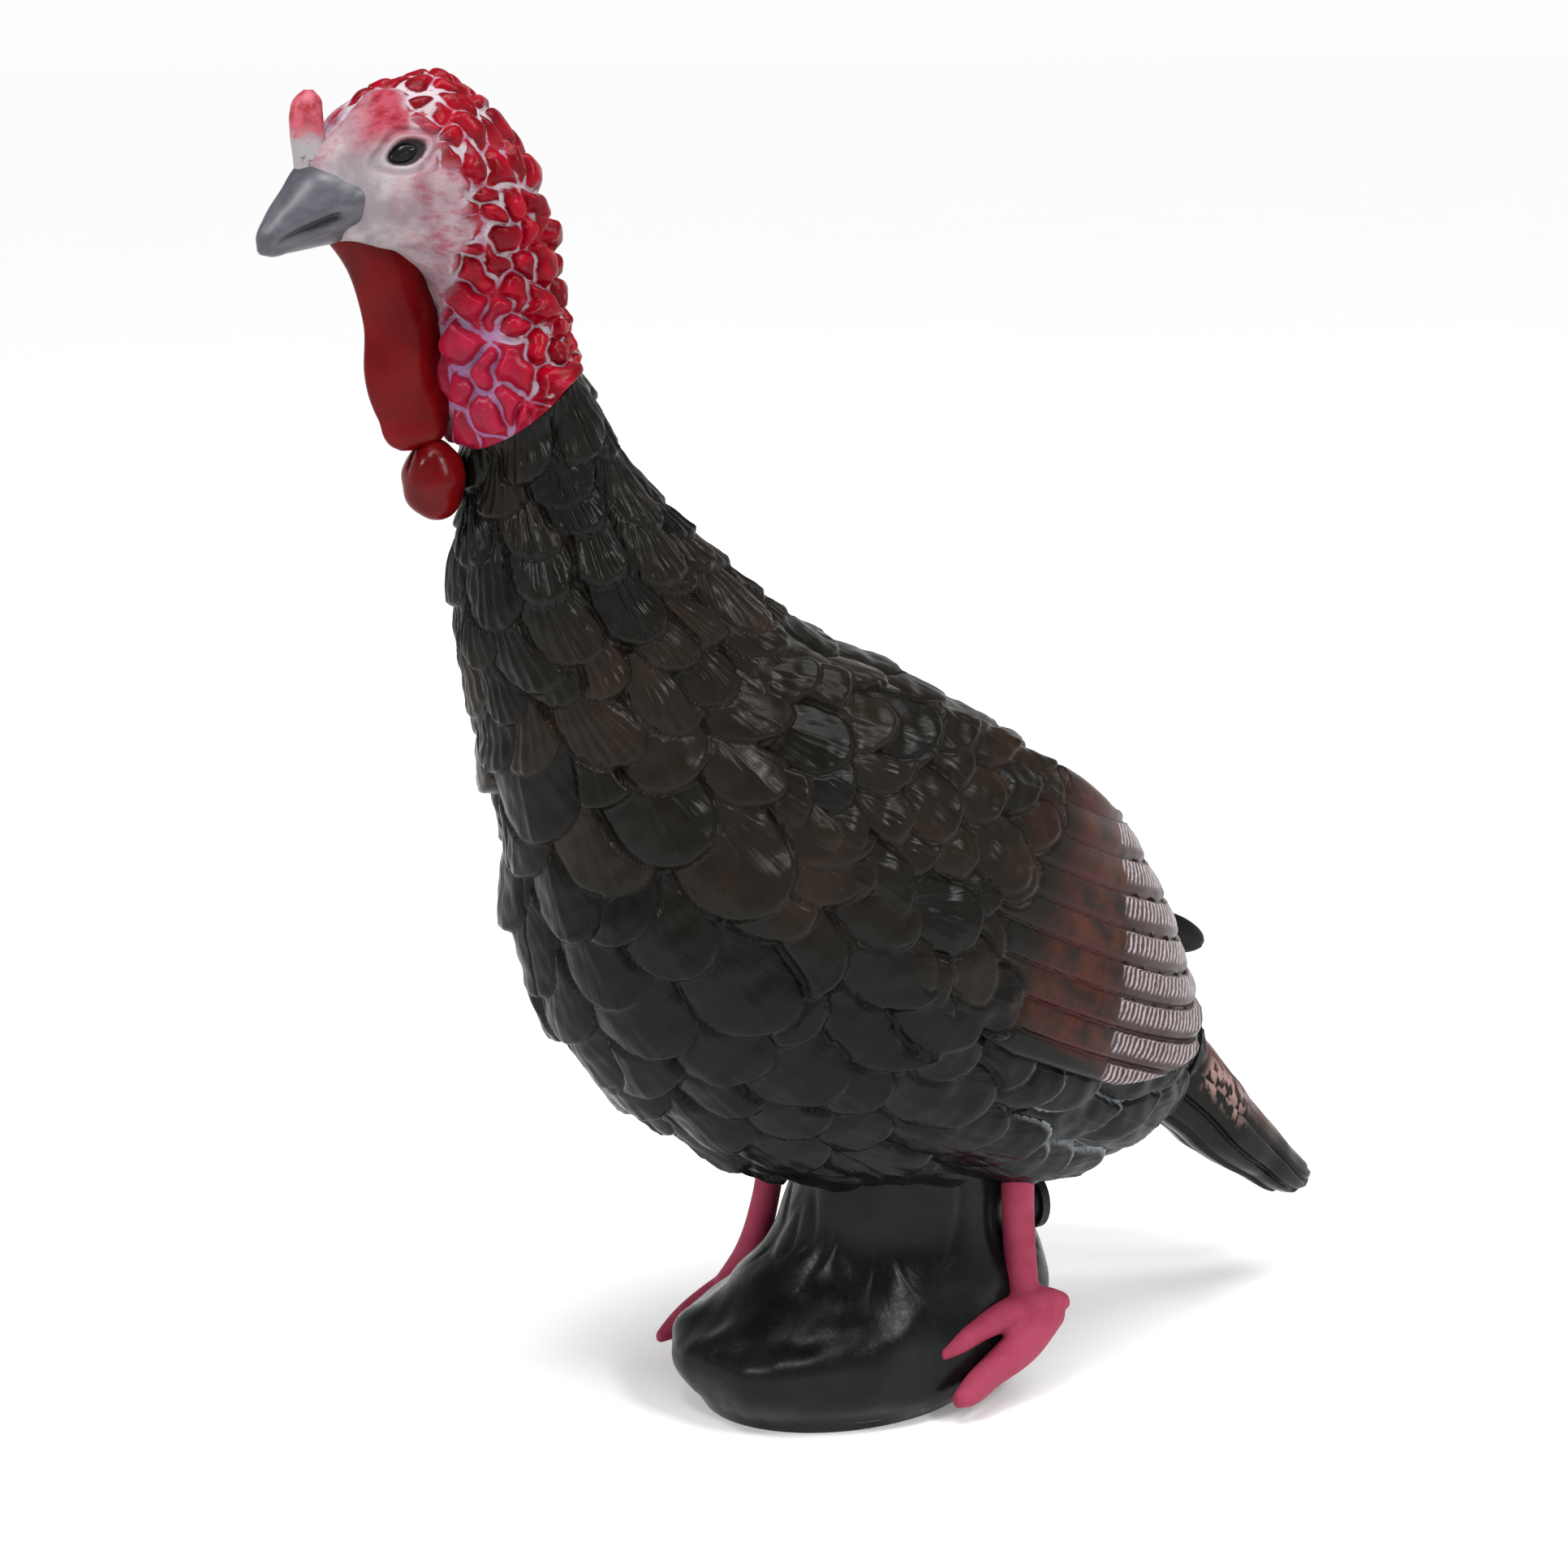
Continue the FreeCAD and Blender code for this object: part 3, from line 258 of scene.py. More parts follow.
def closed_sheet(outer, inner, flip=False, step=4):
    """Points and faces of a shell with a fine outer side and an inner side made of every fourth point."""
    rows, columns = outer.shape[:2]
    back = inner[::step, ::step]
    back_rows, back_columns = back.shape[:2]
    start = rows * columns
    points = np.concatenate([outer.reshape(-1, 3), back.reshape(-1, 3)])
    faces = grid_faces(rows, columns, 0, flip=flip)
    faces += grid_faces(back_rows, back_columns, start, flip=not flip)

    def rim(fine, coarse, turn):
        """Polygons between a fine edge and a coarse edge."""
        for k in range(len(coarse) - 1):
            ring = list(fine[k * step:(k + 1) * step + 1]) + [coarse[k + 1], coarse[k]]
            faces.append(ring[::-1] if turn else ring)

    fine = np.arange(rows * columns).reshape(rows, columns)
    coarse = np.arange(back_rows * back_columns).reshape(back_rows, back_columns) + start
    rim(fine[0], coarse[0], not flip)
    rim(fine[-1], coarse[-1], flip)
    rim(fine[:, 0], coarse[:, 0], flip)
    rim(fine[:, -1], coarse[:, -1], not flip)
    return points, faces


def closed_tube(grid, flip=False):
    """Points and faces of a tube whose rows are rings, with both ends closed by a fan."""
    rows, columns = grid.shape[:2]
    points = np.concatenate([grid.reshape(-1, 3), [grid[0].mean(axis=0)], [grid[-1].mean(axis=0)]])
    faces = grid_faces(rows, columns, 0, wrap=True, flip=flip)
    low, high = rows * columns, rows * columns + 1
    for j in range(columns):
        k = (j + 1) % columns
        first = [low, k, j]
        last = [high, (rows - 1) * columns + j, (rows - 1) * columns + k]
        faces.append(first[::-1] if flip else first)
        faces.append(last[::-1] if flip else last)
    return points, faces


def padded_marks(marks, total):
    """Marks of a grid, with zeros for the points added after it."""
    done = {}
    for key, values in marks.items():
        flat = np.zeros(total)
        flat[:values.size] = values.reshape(-1)
        done[key] = flat
    return done


# ---- Relief ----
WAVES = 9
WHOLE = (slice(None), slice(None))


def lumps(points, size, seed):
    """Soft random relief between -1 and 1, made of a few slanted waves."""
    rng = np.random.default_rng(seed)
    total = np.zeros(points.shape[:-1])
    for _ in range(WAVES):
        way = rng.normal(size=3)
        way *= 2 * np.pi / (size * rng.uniform(0.7, 1.5)) / np.linalg.norm(way)
        total += np.sin(points @ way + rng.uniform(0, 6.28))
    return total / (WAVES / 2)


class Relief:
    """Overlapping feathers laid over a grid, from the tail end forwards."""

    def __init__(self, shape):
        self.height = np.zeros(shape)
        self.tint = np.zeros(shape)
        self.fan = np.zeros(shape)
        self.rim = np.zeros(shape)
        self.kind = np.zeros(shape)

    def lay(self, part, across, along, half_width, length, tip, thick, tint, fan_root, kind=0.0,
            soft=2.2, bulge=1.4, tilt=0.0, barb=0.0):
        """Put feathers on one part of the grid: along grows from root to tip, across from the shaft."""
        over = np.maximum(along - (length - tip), 0.0)
        rho = np.sqrt((across / half_width) ** 2 + (over / tip) ** 2)
        inside = (1.0 - rho) * np.minimum(half_width, tip)
        cover = smooth(inside, 0.0, soft) * (along > 0)
        fan = np.arctan2(across, along + fan_root)
        top = thick * np.clip(along / length, 0.0, 1.0) ** 1.25
        top += bulge * (1.0 - (across / half_width) ** 2) + tilt * across
        top -= 3.0 * np.clip(1.0 - inside / 9.0, 0.0, 1.0) ** 2
        top -= 1.2 * np.clip(1.0 - inside / 2.4, 0.0, 1.0) ** 2
        top += 0.7 * bell(inside, 3.6, 1.6)
        top += 0.45 * bell(across, 0.0, 0.9)
        top += barb * np.cos(fan * 58.0) * smooth(inside, 1.0, 4.0)
        self.height[part] = self.height[part] * (1 - cover) + top * cover
        seen = cover > 0.5
        for store, value in ((self.tint, tint), (self.fan, fan), (self.rim, inside), (self.kind, kind)):
            block = store[part]
            block[seen] = np.broadcast_to(value, block.shape)[seen]

    def marks(self):
        """Mesh attributes for the paint."""
        return {"tint": self.tint, "fan": self.fan, "rim": self.rim}


def feather_rows(relief, s, phi, half, metric, rows, seed):
    """Rows of rounded feathers round a body-like surface, each a little out of place and turned."""
    rng = np.random.default_rng(seed)
    for number, (root, length, width, thick, barb) in enumerate(sorted(rows, reverse=True)):
        middle = float(np.interp(root + length / 2, s, half))
        count = 2 * max(3, round(middle / width))
        jump = rng.uniform(-0.2, 0.2, count)
        slip = rng.uniform(-5.5, 5.5, count)
        lean = rng.uniform(-0.22, 0.22, count)
        size = rng.uniform(0.88, 1.16, count)
        rise = rng.uniform(0.7, 1.25, count)
        tint = rng.uniform(0.0, 1.0, count)
        band = np.nonzero((s > root - 14) & (s < root + length * 1.5 + 16))[0]
        if len(band) == 0:
            continue
        part = slice(band[0], band[-1] + 1)
        turns = phi[None, :] * count / 2 - 0.5 * (number % 2)
        for parity in rng.permutation(2):
            nearest = 2 * np.round((turns - parity) / 2) + parity
            which = (nearest % count).astype(int)
            which = np.broadcast_to(which, (len(band), len(phi)))
            across = (turns - nearest - jump[which]) * (2 / count) * half[part, None]
            along = (s[part, None] - root) * metric[part] + slip[which]
            across = across - (along - 0.5 * length) * lean[which]
            reach = width * 0.6 * size[which]
            relief.lay(part, across, along, reach, length * size[which], reach * 0.95,
                       thick * rise[which], tint[which], 9.0, bulge=0.115 * width, barb=barb)


# ---- Materials ----
def srgb(red, green, blue):
    """Linear colour from 0 to 255 screen values."""
    def linear(v):
        v /= 255.0
        return v / 12.92 if v <= 0.04045 else ((v + 0.055) / 1.055) ** 2.4
    return (linear(red), linear(green), linear(blue), 1.0)


class Paint:
    """Small wrapper that builds a node material."""

    def __init__(self, name):
        self.material = bpy.data.materials.new(name)
        self.material.use_nodes = True
        self.tree = self.material.node_tree
        self.surface = self.tree.nodes["Principled BSDF"]

    def put(self, socket, value):
        """Link an output or set a constant."""
        if hasattr(value, "is_output"):
            self.tree.links.new(value, socket)
        else:
            socket.default_value = value

    def node(self, kind, inputs=None, **settings):
        """New node with its settings and inputs."""
        made = self.tree.nodes.new(kind)
        for key, value in settings.items():
            setattr(made, key, value)
        for key, value in (inputs or {}).items():
            self.put(made.inputs[key], value)
        return made

    def mark(self, name):
        """Mesh attribute."""
        return self.node("ShaderNodeAttribute", attribute_name=name).outputs["Fac"]

    def math(self, operation, a, b=0.0):
        """One sum."""
        made = self.node("ShaderNodeMath", operation=operation)
        self.put(made.inputs[0], a)
        self.put(made.inputs[1], b)
        return made.outputs[0]

    def times(self, a, b):
        """Product of two values."""
        return self.math("MULTIPLY", a, b)

    def plus(self, a, b):
        """Sum of two values."""
        return self.math("ADD", a, b)

    def minus(self, a, b):
        """Difference of two values."""
        return self.math("SUBTRACT", a, b)

    def sine(self, a):
        """Sine of a value."""
        return self.math("SINE", a)

    def step(self, value, low, high, to_low=0.0, to_high=1.0):
        """Smooth change between two values."""
        made = self.node("ShaderNodeMapRange", interpolation_type="SMOOTHSTEP")
        for key, amount in (("Value", value), ("From Min", low), ("From Max", high),
                            ("To Min", to_low), ("To Max", to_high)):
            self.put(made.inputs[key], amount)
        return made.outputs[0]

    def noise(self, scale, detail=3.0, rough=0.55, stretch=(1, 1, 1)):
        """Noise in object space."""
        spot = self.node("ShaderNodeTexCoord").outputs["Object"]
        mapped = self.node("ShaderNodeMapping", {"Vector": spot, "Scale": stretch}).outputs[0]
        return self.node("ShaderNodeTexNoise", {"Vector": mapped, "Scale": scale, "Detail": detail,
                                                "Roughness": rough}).outputs["Fac"]

    def mix(self, share, first, second):
        """Blend of two colours."""
        made = self.node("ShaderNodeMix", data_type="RGBA")
        self.put(made.inputs[0], share)
        self.put(made.inputs[6], first)
        self.put(made.inputs[7], second)
        return made.outputs[2]

    def fade(self, value, low, high, first, second):
        """Colour that goes from first to second as a value goes from low to high."""
        return self.mix(self.step(value, low, high), first, second)

    def bump(self, height, distance, strength):
        """Bump from a height."""
        return self.node("ShaderNodeBump", {"Height": height, "Strength": strength,
                                            "Distance": distance}).outputs[0]

    def finish(self, colour, rough, bump=None, **more):
        """Connect the surface."""
        self.put(self.surface.inputs["Base Color"], colour)
        self.put(self.surface.inputs["Roughness"], rough)
        if bump is not None:
            self.put(self.surface.inputs["Normal"], bump)
        for key, value in more.items():
            self.put(self.surface.inputs[key.replace("_", " ")], value)
        return self.material


def plain_material(name, colour, rough, metal=0.0, grain=900.0, vary=0.25, stretch=(1, 1, 1)):
    """Everyday finish with fine grain and soft blotches."""
    paint = Paint(name)
    dark = tuple(c * (1 - vary) for c in colour[:3]) + (1.0,)
    fine = paint.noise(grain, 3.0, 0.6, stretch)
    broad = paint.noise(60.0, 3.0, 0.5)
    shade = paint.fade(broad, 0.35, 0.65, dark, colour)
    shade = paint.mix(paint.step(fine, 0.3, 0.8, 0.0, 0.3), shade, dark)
    roughness = paint.step(fine, 0.3, 0.7, rough - 0.08, rough + 0.08)
    return paint.finish(shade, roughness, paint.bump(fine, 0.0002, 0.35), Metallic=metal)


STRIPE_GAP = 4.0        # millimetres from one pale stripe of a long wing feather to the next


def feather_material(name, wing=False, tail=False):
    """Satin moulded feathers: barbs that fan from each root with painted shade in their grooves, pale rims
    of dry-brushed paint and painted highlight, painted shade at the edges and low down, and a tint for each
    feather.
    """
    paint = Paint(name)
    tint = paint.mark("tint")
    fan = paint.mark("fan")
    rim = paint.mark("rim")
    broad = paint.noise(22.0, 3.0, 0.5)
    fine = paint.noise(420.0, 4.0, 0.65)
    warm = paint.mix(tint, srgb(12, 11, 8), srgb(28, 22, 15))
    # The darker grey-green colour is partly the belly's own tint and partly painted shade, laid on the low
    # parts of the body and wings.
    cool_and_shaded = paint.mix(tint, srgb(5, 7, 6), srgb(12, 14, 13))
    colour = paint.mix(paint.mark("cool_tint_and_shade"), warm, cool_and_shaded)
    russet = paint.times(paint.step(broad, 0.5, 0.66), paint.step(tint, 0.35, 0.9))
    russet = paint.times(russet, paint.minus(1.0, paint.mark("cool_tint_and_shade")))
    colour = paint.mix(paint.times(russet, 0.5), colour, srgb(48, 31, 21))
    drift = paint.times(paint.noise(95.0, 2.0, 0.5), 5.0)
    coarse_barb = paint.sine(paint.plus(paint.times(fan, 44.0), drift))
    fine_barb = paint.sine(paint.plus(paint.times(fan, 120.0), drift))
    groove = paint.step(coarse_barb, -0.9, 0.5)
    grain = paint.plus(paint.times(fine_barb, 0.25), fine)
    barb = paint.mark("barb")
    # Painted shade in the barb grooves: the colour darkens between the raised barbs, where the bump also
    # cuts them.
    dark = paint.mix(0.55, colour, srgb(10, 9, 8))
    shade = paint.times(paint.minus(1.0, groove), barb)
    colour = paint.mix(shade, colour, dark)
    # Pale rims near each feather edge: partly dry-brushed paint and partly a painted highlight on the
    # raised lip.
    rim_paint_and_highlight = paint.times(paint.step(rim, 2.4, 0.6), paint.step(rim, -0.2, 0.5))
    rim_paint_and_highlight = paint.times(rim_paint_and_highlight, paint.step(fine, 0.35, 0.7))
    colour = paint.mix(paint.times(rim_paint_and_highlight, 0.14), colour, srgb(84, 74, 68))
    pale = paint.times(paint.mark("pale"), paint.step(rim, 4.6, 1.4))
    pale = paint.times(pale, paint.step(fine, 0.3, 0.6, 0.3, 1.0))
    colour = paint.mix(pale, colour, srgb(132, 138, 142))
    # Painted shade: the colour turns nearly black in the crease along each feather's edge.
    deep = paint.step(rim, 1.8, 0.2)
    colour = paint.mix(paint.times(deep, 0.8), colour, srgb(6, 6, 5))
    if wing:
        rust = paint.fade(paint.noise(60.0, 4.0, 0.6), 0.3, 0.7, srgb(24, 13, 9), srgb(64, 28, 16))
        red_edge = paint.step(paint.mark("side"), -0.6, -0.85)
        rust = paint.mix(paint.times(red_edge, 0.8), rust, srgb(60, 16, 14))
        colour = paint.mix(paint.mark("rust"), colour, rust)
        under = paint.mix(red_edge, srgb(58, 42, 38), srgb(40, 17, 15))
        colour = paint.mix(paint.mark("bar"), colour, under)
        wander = paint.times(paint.noise(160.0, 3.0, 0.6), 6.0)
        phase = paint.plus(paint.times(paint.mark("span"), 2 * math.pi / STRIPE_GAP), wander)
        phase = paint.plus(phase, paint.times(paint.mark("side"), -2.8))
        stroke = paint.step(paint.sine(phase), 0.0, 0.5)
        bright_edge = paint.plus(paint.mark("side"), paint.times(fine, 0.3))
        stroke = paint.times(stroke, paint.step(bright_edge, -0.52, -0.38))
        stroke = paint.times(stroke, paint.mark("bar"))
        stroke = paint.times(stroke, paint.step(fine, 0.3, 0.5, 0.35, 1.0))
        colour = paint.mix(stroke, colour, srgb(160, 146, 150))
    if tail:
        ridge = paint.fade(broad, 0.35, 0.65, srgb(44, 22, 17), srgb(78, 40, 28))
        colour = paint.mix(paint.mark("rust"), colour, ridge)
        blotch = paint.step(paint.noise(170.0, 2.0, 0.5, (1.0, 1.4, 0.7)), 0.46, 0.53)
        colour = paint.mix(paint.times(blotch, paint.mark("bar")), colour, srgb(142, 114, 108))
        colour = paint.mix(paint.times(paint.mark("pale_tip"), 0.7), colour, srgb(72, 84, 78))
    height = paint.plus(paint.times(groove, barb), paint.times(grain, 0.12))
    rough = paint.step(paint.noise(70.0, 3.0, 0.5), 0.3, 0.7, 0.25, 0.37)
    return paint.finish(colour, rough, paint.bump(height, 0.0007, 0.8), Specular_IOR_Level=0.13)


def skin_material():
    """Painted head: pale face, pink wash, red caruncles with pale webs between them."""
    paint = Paint("painted_head")
    knob = paint.mark("knob")
    wash = paint.mark("wash")
    streak = paint.noise(240.0, 4.0, 0.65, (1.0, 0.35, 1.0))
    fine = paint.noise(700.0, 3.0, 0.6)
    blot = paint.noise(85.0, 3.0, 0.5)
    face = paint.fade(blot, 0.35, 0.65, srgb(126, 117, 122), srgb(156, 147, 149))
    smudge = paint.times(paint.step(streak, 0.62, 0.72), 0.5)
    face = paint.mix(smudge, face, srgb(100, 90, 102))
    pink = paint.fade(streak, 0.35, 0.6, srgb(134, 50, 72), srgb(146, 98, 112))
    colour = paint.mix(paint.times(wash, paint.step(streak, 0.2, 0.62, 1.0, 0.35)), face, pink)
    crown = paint.fade(streak, 0.38, 0.62, srgb(122, 8, 26), srgb(148, 54, 72))
    colour = paint.mix(paint.mark("crown"), colour, crown)
    web = paint.fade(blot, 0.42, 0.6, srgb(172, 160, 166), srgb(146, 116, 134))
    web = paint.mix(paint.mark("purple"), web, srgb(138, 100, 134))
    web = paint.fade(streak, 0.52, 0.66, web, srgb(136, 28, 50))
    colour = paint.mix(paint.mark("webs"), colour, web)
    red = paint.fade(blot, 0.35, 0.65, srgb(98, 0, 12), srgb(138, 2, 24))
    red = paint.mix(paint.times(paint.step(streak, 0.56, 0.72), 0.5), red, srgb(164, 48, 72))
    red = paint.mix(paint.times(paint.mark("purple"), 0.45), red, srgb(144, 34, 64))
    edge = paint.plus(knob, paint.times(paint.minus(streak, 0.5), 0.95))
    edge = paint.plus(edge, paint.times(paint.minus(blot, 0.44), 2.2))
    colour = paint.mix(paint.times(paint.step(edge, 0.3, 0.62), paint.mark("webs")), colour, red)
    colour = paint.mix(paint.times(paint.mark("lid"), 0.5), colour, srgb(158, 150, 152))
    colour = paint.mix(paint.mark("lash"), colour, srgb(38, 34, 36))
    height = paint.plus(paint.times(fine, 0.4), streak)
    rough = paint.step(knob, 0.0, 0.6, 0.5, 0.27)
    return paint.finish(colour, rough, paint.bump(height, 0.0004, 0.6), Specular_IOR_Level=0.12)


def smooth_paint(name, first, second, rough, scale=60.0, depth=0.0002):
    """Two close paint colours in soft blotches with a faint brushed grain."""
    paint = Paint(name)
    broad = paint.noise(scale, 3.0, 0.55)
    fine = paint.noise(600.0, 4.0, 0.6)
    colour = paint.fade(broad, 0.32, 0.68, first, second)
    colour = paint.mix(paint.step(fine, 0.55, 0.85, 0.0, 0.25), colour, first)
    height = paint.plus(paint.times(fine, 0.4), broad)
    return paint.finish(colour, paint.step(fine, 0.3, 0.7, rough - 0.06, rough + 0.06),
                        paint.bump(height, depth, 0.6), Specular_IOR_Level=0.12)


def beak_material():
    """Grey beak with a dark mouth line."""
    paint = Paint("beak_paint")
    streak = paint.noise(150.0, 3.0, 0.6, (1.0, 0.3, 1.0))
    colour = paint.fade(streak, 0.3, 0.7, srgb(58, 56, 63), srgb(78, 76, 84))
    colour = paint.mix(paint.mark("mouth"), colour, srgb(40, 38, 42))
    return paint.finish(colour, 0.4, paint.bump(streak, 0.0002, 0.5))


def snood_material():
    """Snood with a red top, a grey-white foot and small dark flecks."""
    paint = Paint("snood_paint")
    streak = paint.noise(230.0, 4.0, 0.65)
    top = paint.fade(streak, 0.35, 0.62, srgb(134, 18, 34), srgb(166, 68, 84))
    foot = paint.fade(streak, 0.55, 0.68, srgb(140, 134, 138), srgb(84, 78, 86))
    share = paint.plus(paint.mark("top"), paint.times(streak, 0.5))
    colour = paint.fade(share, 0.62, 0.9, foot, top)
    return paint.finish(colour, 0.5, paint.bump(streak, 0.0003, 0.6))


# ---- Body halves ----
SIDE_NAMES = {1.0: "left", -1.0: "right"}
BODY_LENGTH = path_lengths(BODY)[-1]
# Feather rows: distance of the roots from the neck, length, width, thickness and depth of the barbs.
NECK_ROWS = [(-20.0 + 21.0 * i, 46.0, 27.0, 5.0, 0.36) for i in range(7)]
TRUNK_ROWS = [(128.0 + 26.5 * i, 56.0, 40.0, 5.6, 0.06) for i in range(16)]
FEATHER_ROOM = 5.6      # the feathers rise from this far inside the CAD surface
SHELL_INSIDE = 9.6
SEAM_LIP = 4.8          # plain edge under the painted head


def body_half(side, feathers):
    """One feathered half of the body, closed with a thin inner skin."""
    rows, columns = panel_size(99, 54)
    s = np.linspace(0.0, BODY_LENGTH, rows)
    phi = np.linspace(0.0, 1.0, columns) * side
    base, half = sloped_sheet(BODY, s, phi, -FEATHER_ROOM)
    inner, _ = sloped_sheet(BODY, s, phi, -SHELL_INSIDE)
    centre = base.mean(axis=1, keepdims=True) * np.array([0.0, 1.0, 1.0])
    out = normals(base, base - centre)
    metric = np.linalg.norm(np.gradient(base, axis=0), axis=-1) / (s[1] - s[0])
    relief = Relief(base.shape[:2])
    feather_rows(relief, s, phi, half, metric, NECK_ROWS + TRUNK_ROWS, 11)
    height = relief.height + 1.4 * lumps(base, 52.0, 5)
    height = height + 0.5 * lumps(base, 19.0, 6) + 0.45 * lumps(base, 12.0, 7)
    from_seam = np.minimum(np.abs(phi), 1.0 - np.abs(phi))[None, :] * half[:, None]
    crack = 0.5 + 0.5 * lumps(base * np.array([0.0, 1.0, 1.0]), 40.0, 8)
    height -= 1.7 * bell(from_seam, 0.0, 1.1) * np.clip(crack, 0.15, 1.0)
    seam = smooth(s, 1.5, 9.0)[:, None]
    height = height * seam + SEAM_LIP * (1.0 - seam)
    y, z = base[..., 1], base[..., 2]
    height = np.maximum(height, -1.2 + 4.0 * smooth(y, 150.0, 172.0))
    points = base + out * height[..., None]
    # Lower body: the darker grey-green colour, partly its own tint and partly painted shade underneath; the
    # neck gets some of that tint as well.
    low = fall(z - 255.0 + 0.25 * y, -45.0, 45.0)
    under_wing = fall(z - 0.62 * (190.0 - y) - 150.0, -18.0, 0.0)
    flank = smooth(y, 48.0, 84.0) * fall(y, 150.0, 170.0) * under_wing
    marks = relief.marks()
    marks["cool_tint_and_shade"] = np.maximum(low, 0.6 * fall(s, 60.0, 130.0)[:, None])
    marks["barb"] = 0.14 + 0.7 * fall(s, 60.0, 150.0)[:, None] * np.ones_like(y)
    marks["pale"] = flank
    name = SIDE_NAMES[side]
    return mesh_piece("shell_feathers_" + name, closed_sheet(points, inner, flip=side < 0), feathers,
                      "decoy", ["body_shell_" + name], marks)


# ---- Wings ----
WING_START = np.array([-90.0, 372.0])
WING_WAY = np.array([0.834, -0.552])
WING_UP = np.array([0.552, 0.834])
WING_FRONT = -4.0
WING_END = 350.0
LONG_FEATHERS = 9
LONG_FEATHER_REACH = 15.5
LONG_FEATHER_TIPS = ([-86, -60, -30, 0, 34], [334, 344, 338, 322, 276])
COVERT_ROWS = 11
COVERT_WIDTH = 26.0
COVERT_LENGTH = 40.0
WING_LOW_EDGE = np.array([(-4, 2), (4, -22), (24, -38), (54, -55), (120, -66), (207, -69), (283, -57),
                          (322, -40), (343, -24), (350, -10)], float)
WING_TOP_EDGE = np.array([(-4, 8), (8, 27), (36, 43), (89, 54), (143, 62), (197, 62), (243, 57),
                          (287, 45), (323, 27), (344, 8), (350, -10)], float)
FINE_S = np.linspace(0.0, BODY_LENGTH, 320)
FINE_BODY = through(path_lengths(BODY), BODY, FINE_S)


def body_side(y, z, grow_height, grow_width):
    """Half width of the grown body at a height and a distance along the bird."""
    cy, cz, a, b, slope = FINE_BODY.T
    slope = np.radians(slope)
    flat_y, flat_z = y.reshape(-1, 1), z.reshape(-1, 1)
    ahead = -(flat_y - cy) * np.sin(slope) + (flat_z - cz) * np.cos(slope)
    index = np.clip(np.sum(ahead < 0, axis=1), 1, len(cy) - 1)
    pick = np.arange(len(index))
    before, after = ahead[pick, index - 1], ahead[pick, index]
    share = np.clip(before / np.where(before == after, 1.0, before - after), 0.0, 1.0)

    def at(values):
        """Value between two neighbouring sections."""
        return values[index - 1] * (1 - share) + values[index] * share

    up = (flat_y[:, 0] - at(cy)) * np.cos(at(slope)) + (flat_z[:, 0] - at(cz)) * np.sin(at(slope))
    cosine = np.clip(up / (at(a) + np.ravel(grow_height)), -0.985, 0.985)
    return ((at(b) + grow_width) * np.sqrt(1 - cosine**2)).reshape(y.shape)


def wing_relief(p, q):
    """Small coverts over the front of the wing, long stacked feathers over the rear."""
    rng = np.random.default_rng(23)
    relief = Relief(p.shape)
    side = np.zeros(p.shape)
    span = np.zeros(p.shape)
    turn = math.radians(8.0)
    along_all = p * math.cos(turn) + q * math.sin(turn)
    across_all = -p * math.sin(turn) + q * math.cos(turn)
    for level in np.linspace(-86.0, 34.0, LONG_FEATHERS):
        tip_at = np.interp(level, *LONG_FEATHER_TIPS)
        root = 120.0 + rng.uniform(-6, 6)
        along = along_all - root
        across = across_all - level - 0.00035 * (along_all - 230.0) ** 2
        reach = LONG_FEATHER_REACH
        before = relief.height.copy()
        relief.lay(WHOLE, across, along, reach, tip_at - root, 24.0, 5.0, rng.uniform(0, 1), 60.0,
                   kind=1.0, soft=1.6, bulge=4.6, tilt=-0.3)
        new = (np.abs(relief.height - before) > 1e-6) & (np.abs(across) < reach)
        side = np.where(new, across / reach, side)
        span = np.where(new, along, span)
    for number in reversed(range(COVERT_ROWS)):
        root = -36.0 + 17.5 * number
        jump, slip, tint, size, lean = (rng.uniform(low, high, 40) for low, high in
                                        ((-0.2, 0.2), (-6, 6), (0, 1), (0.86, 1.16), (-0.25, 0.25)))
        for parity in rng.permutation(2):
            line = q / COVERT_WIDTH - 0.5 * (number % 2)
            nearest = 2 * np.round((line - parity) / 2) + parity
            key = (nearest.astype(int) + 40) % 40
            across = (line - nearest - jump[key]) * COVERT_WIDTH
            along = p - root + slip[key] - 0.004 * q * q
            across = across - (along - COVERT_LENGTH / 2) * lean[key]
            reach = COVERT_WIDTH * 0.6 * size[key]
            relief.lay(WHOLE, across, along, reach, COVERT_LENGTH * size[key], reach * 0.95, 5.4, tint[key],
                       9.0, bulge=2.6, barb=0.1)
    return relief, side, span


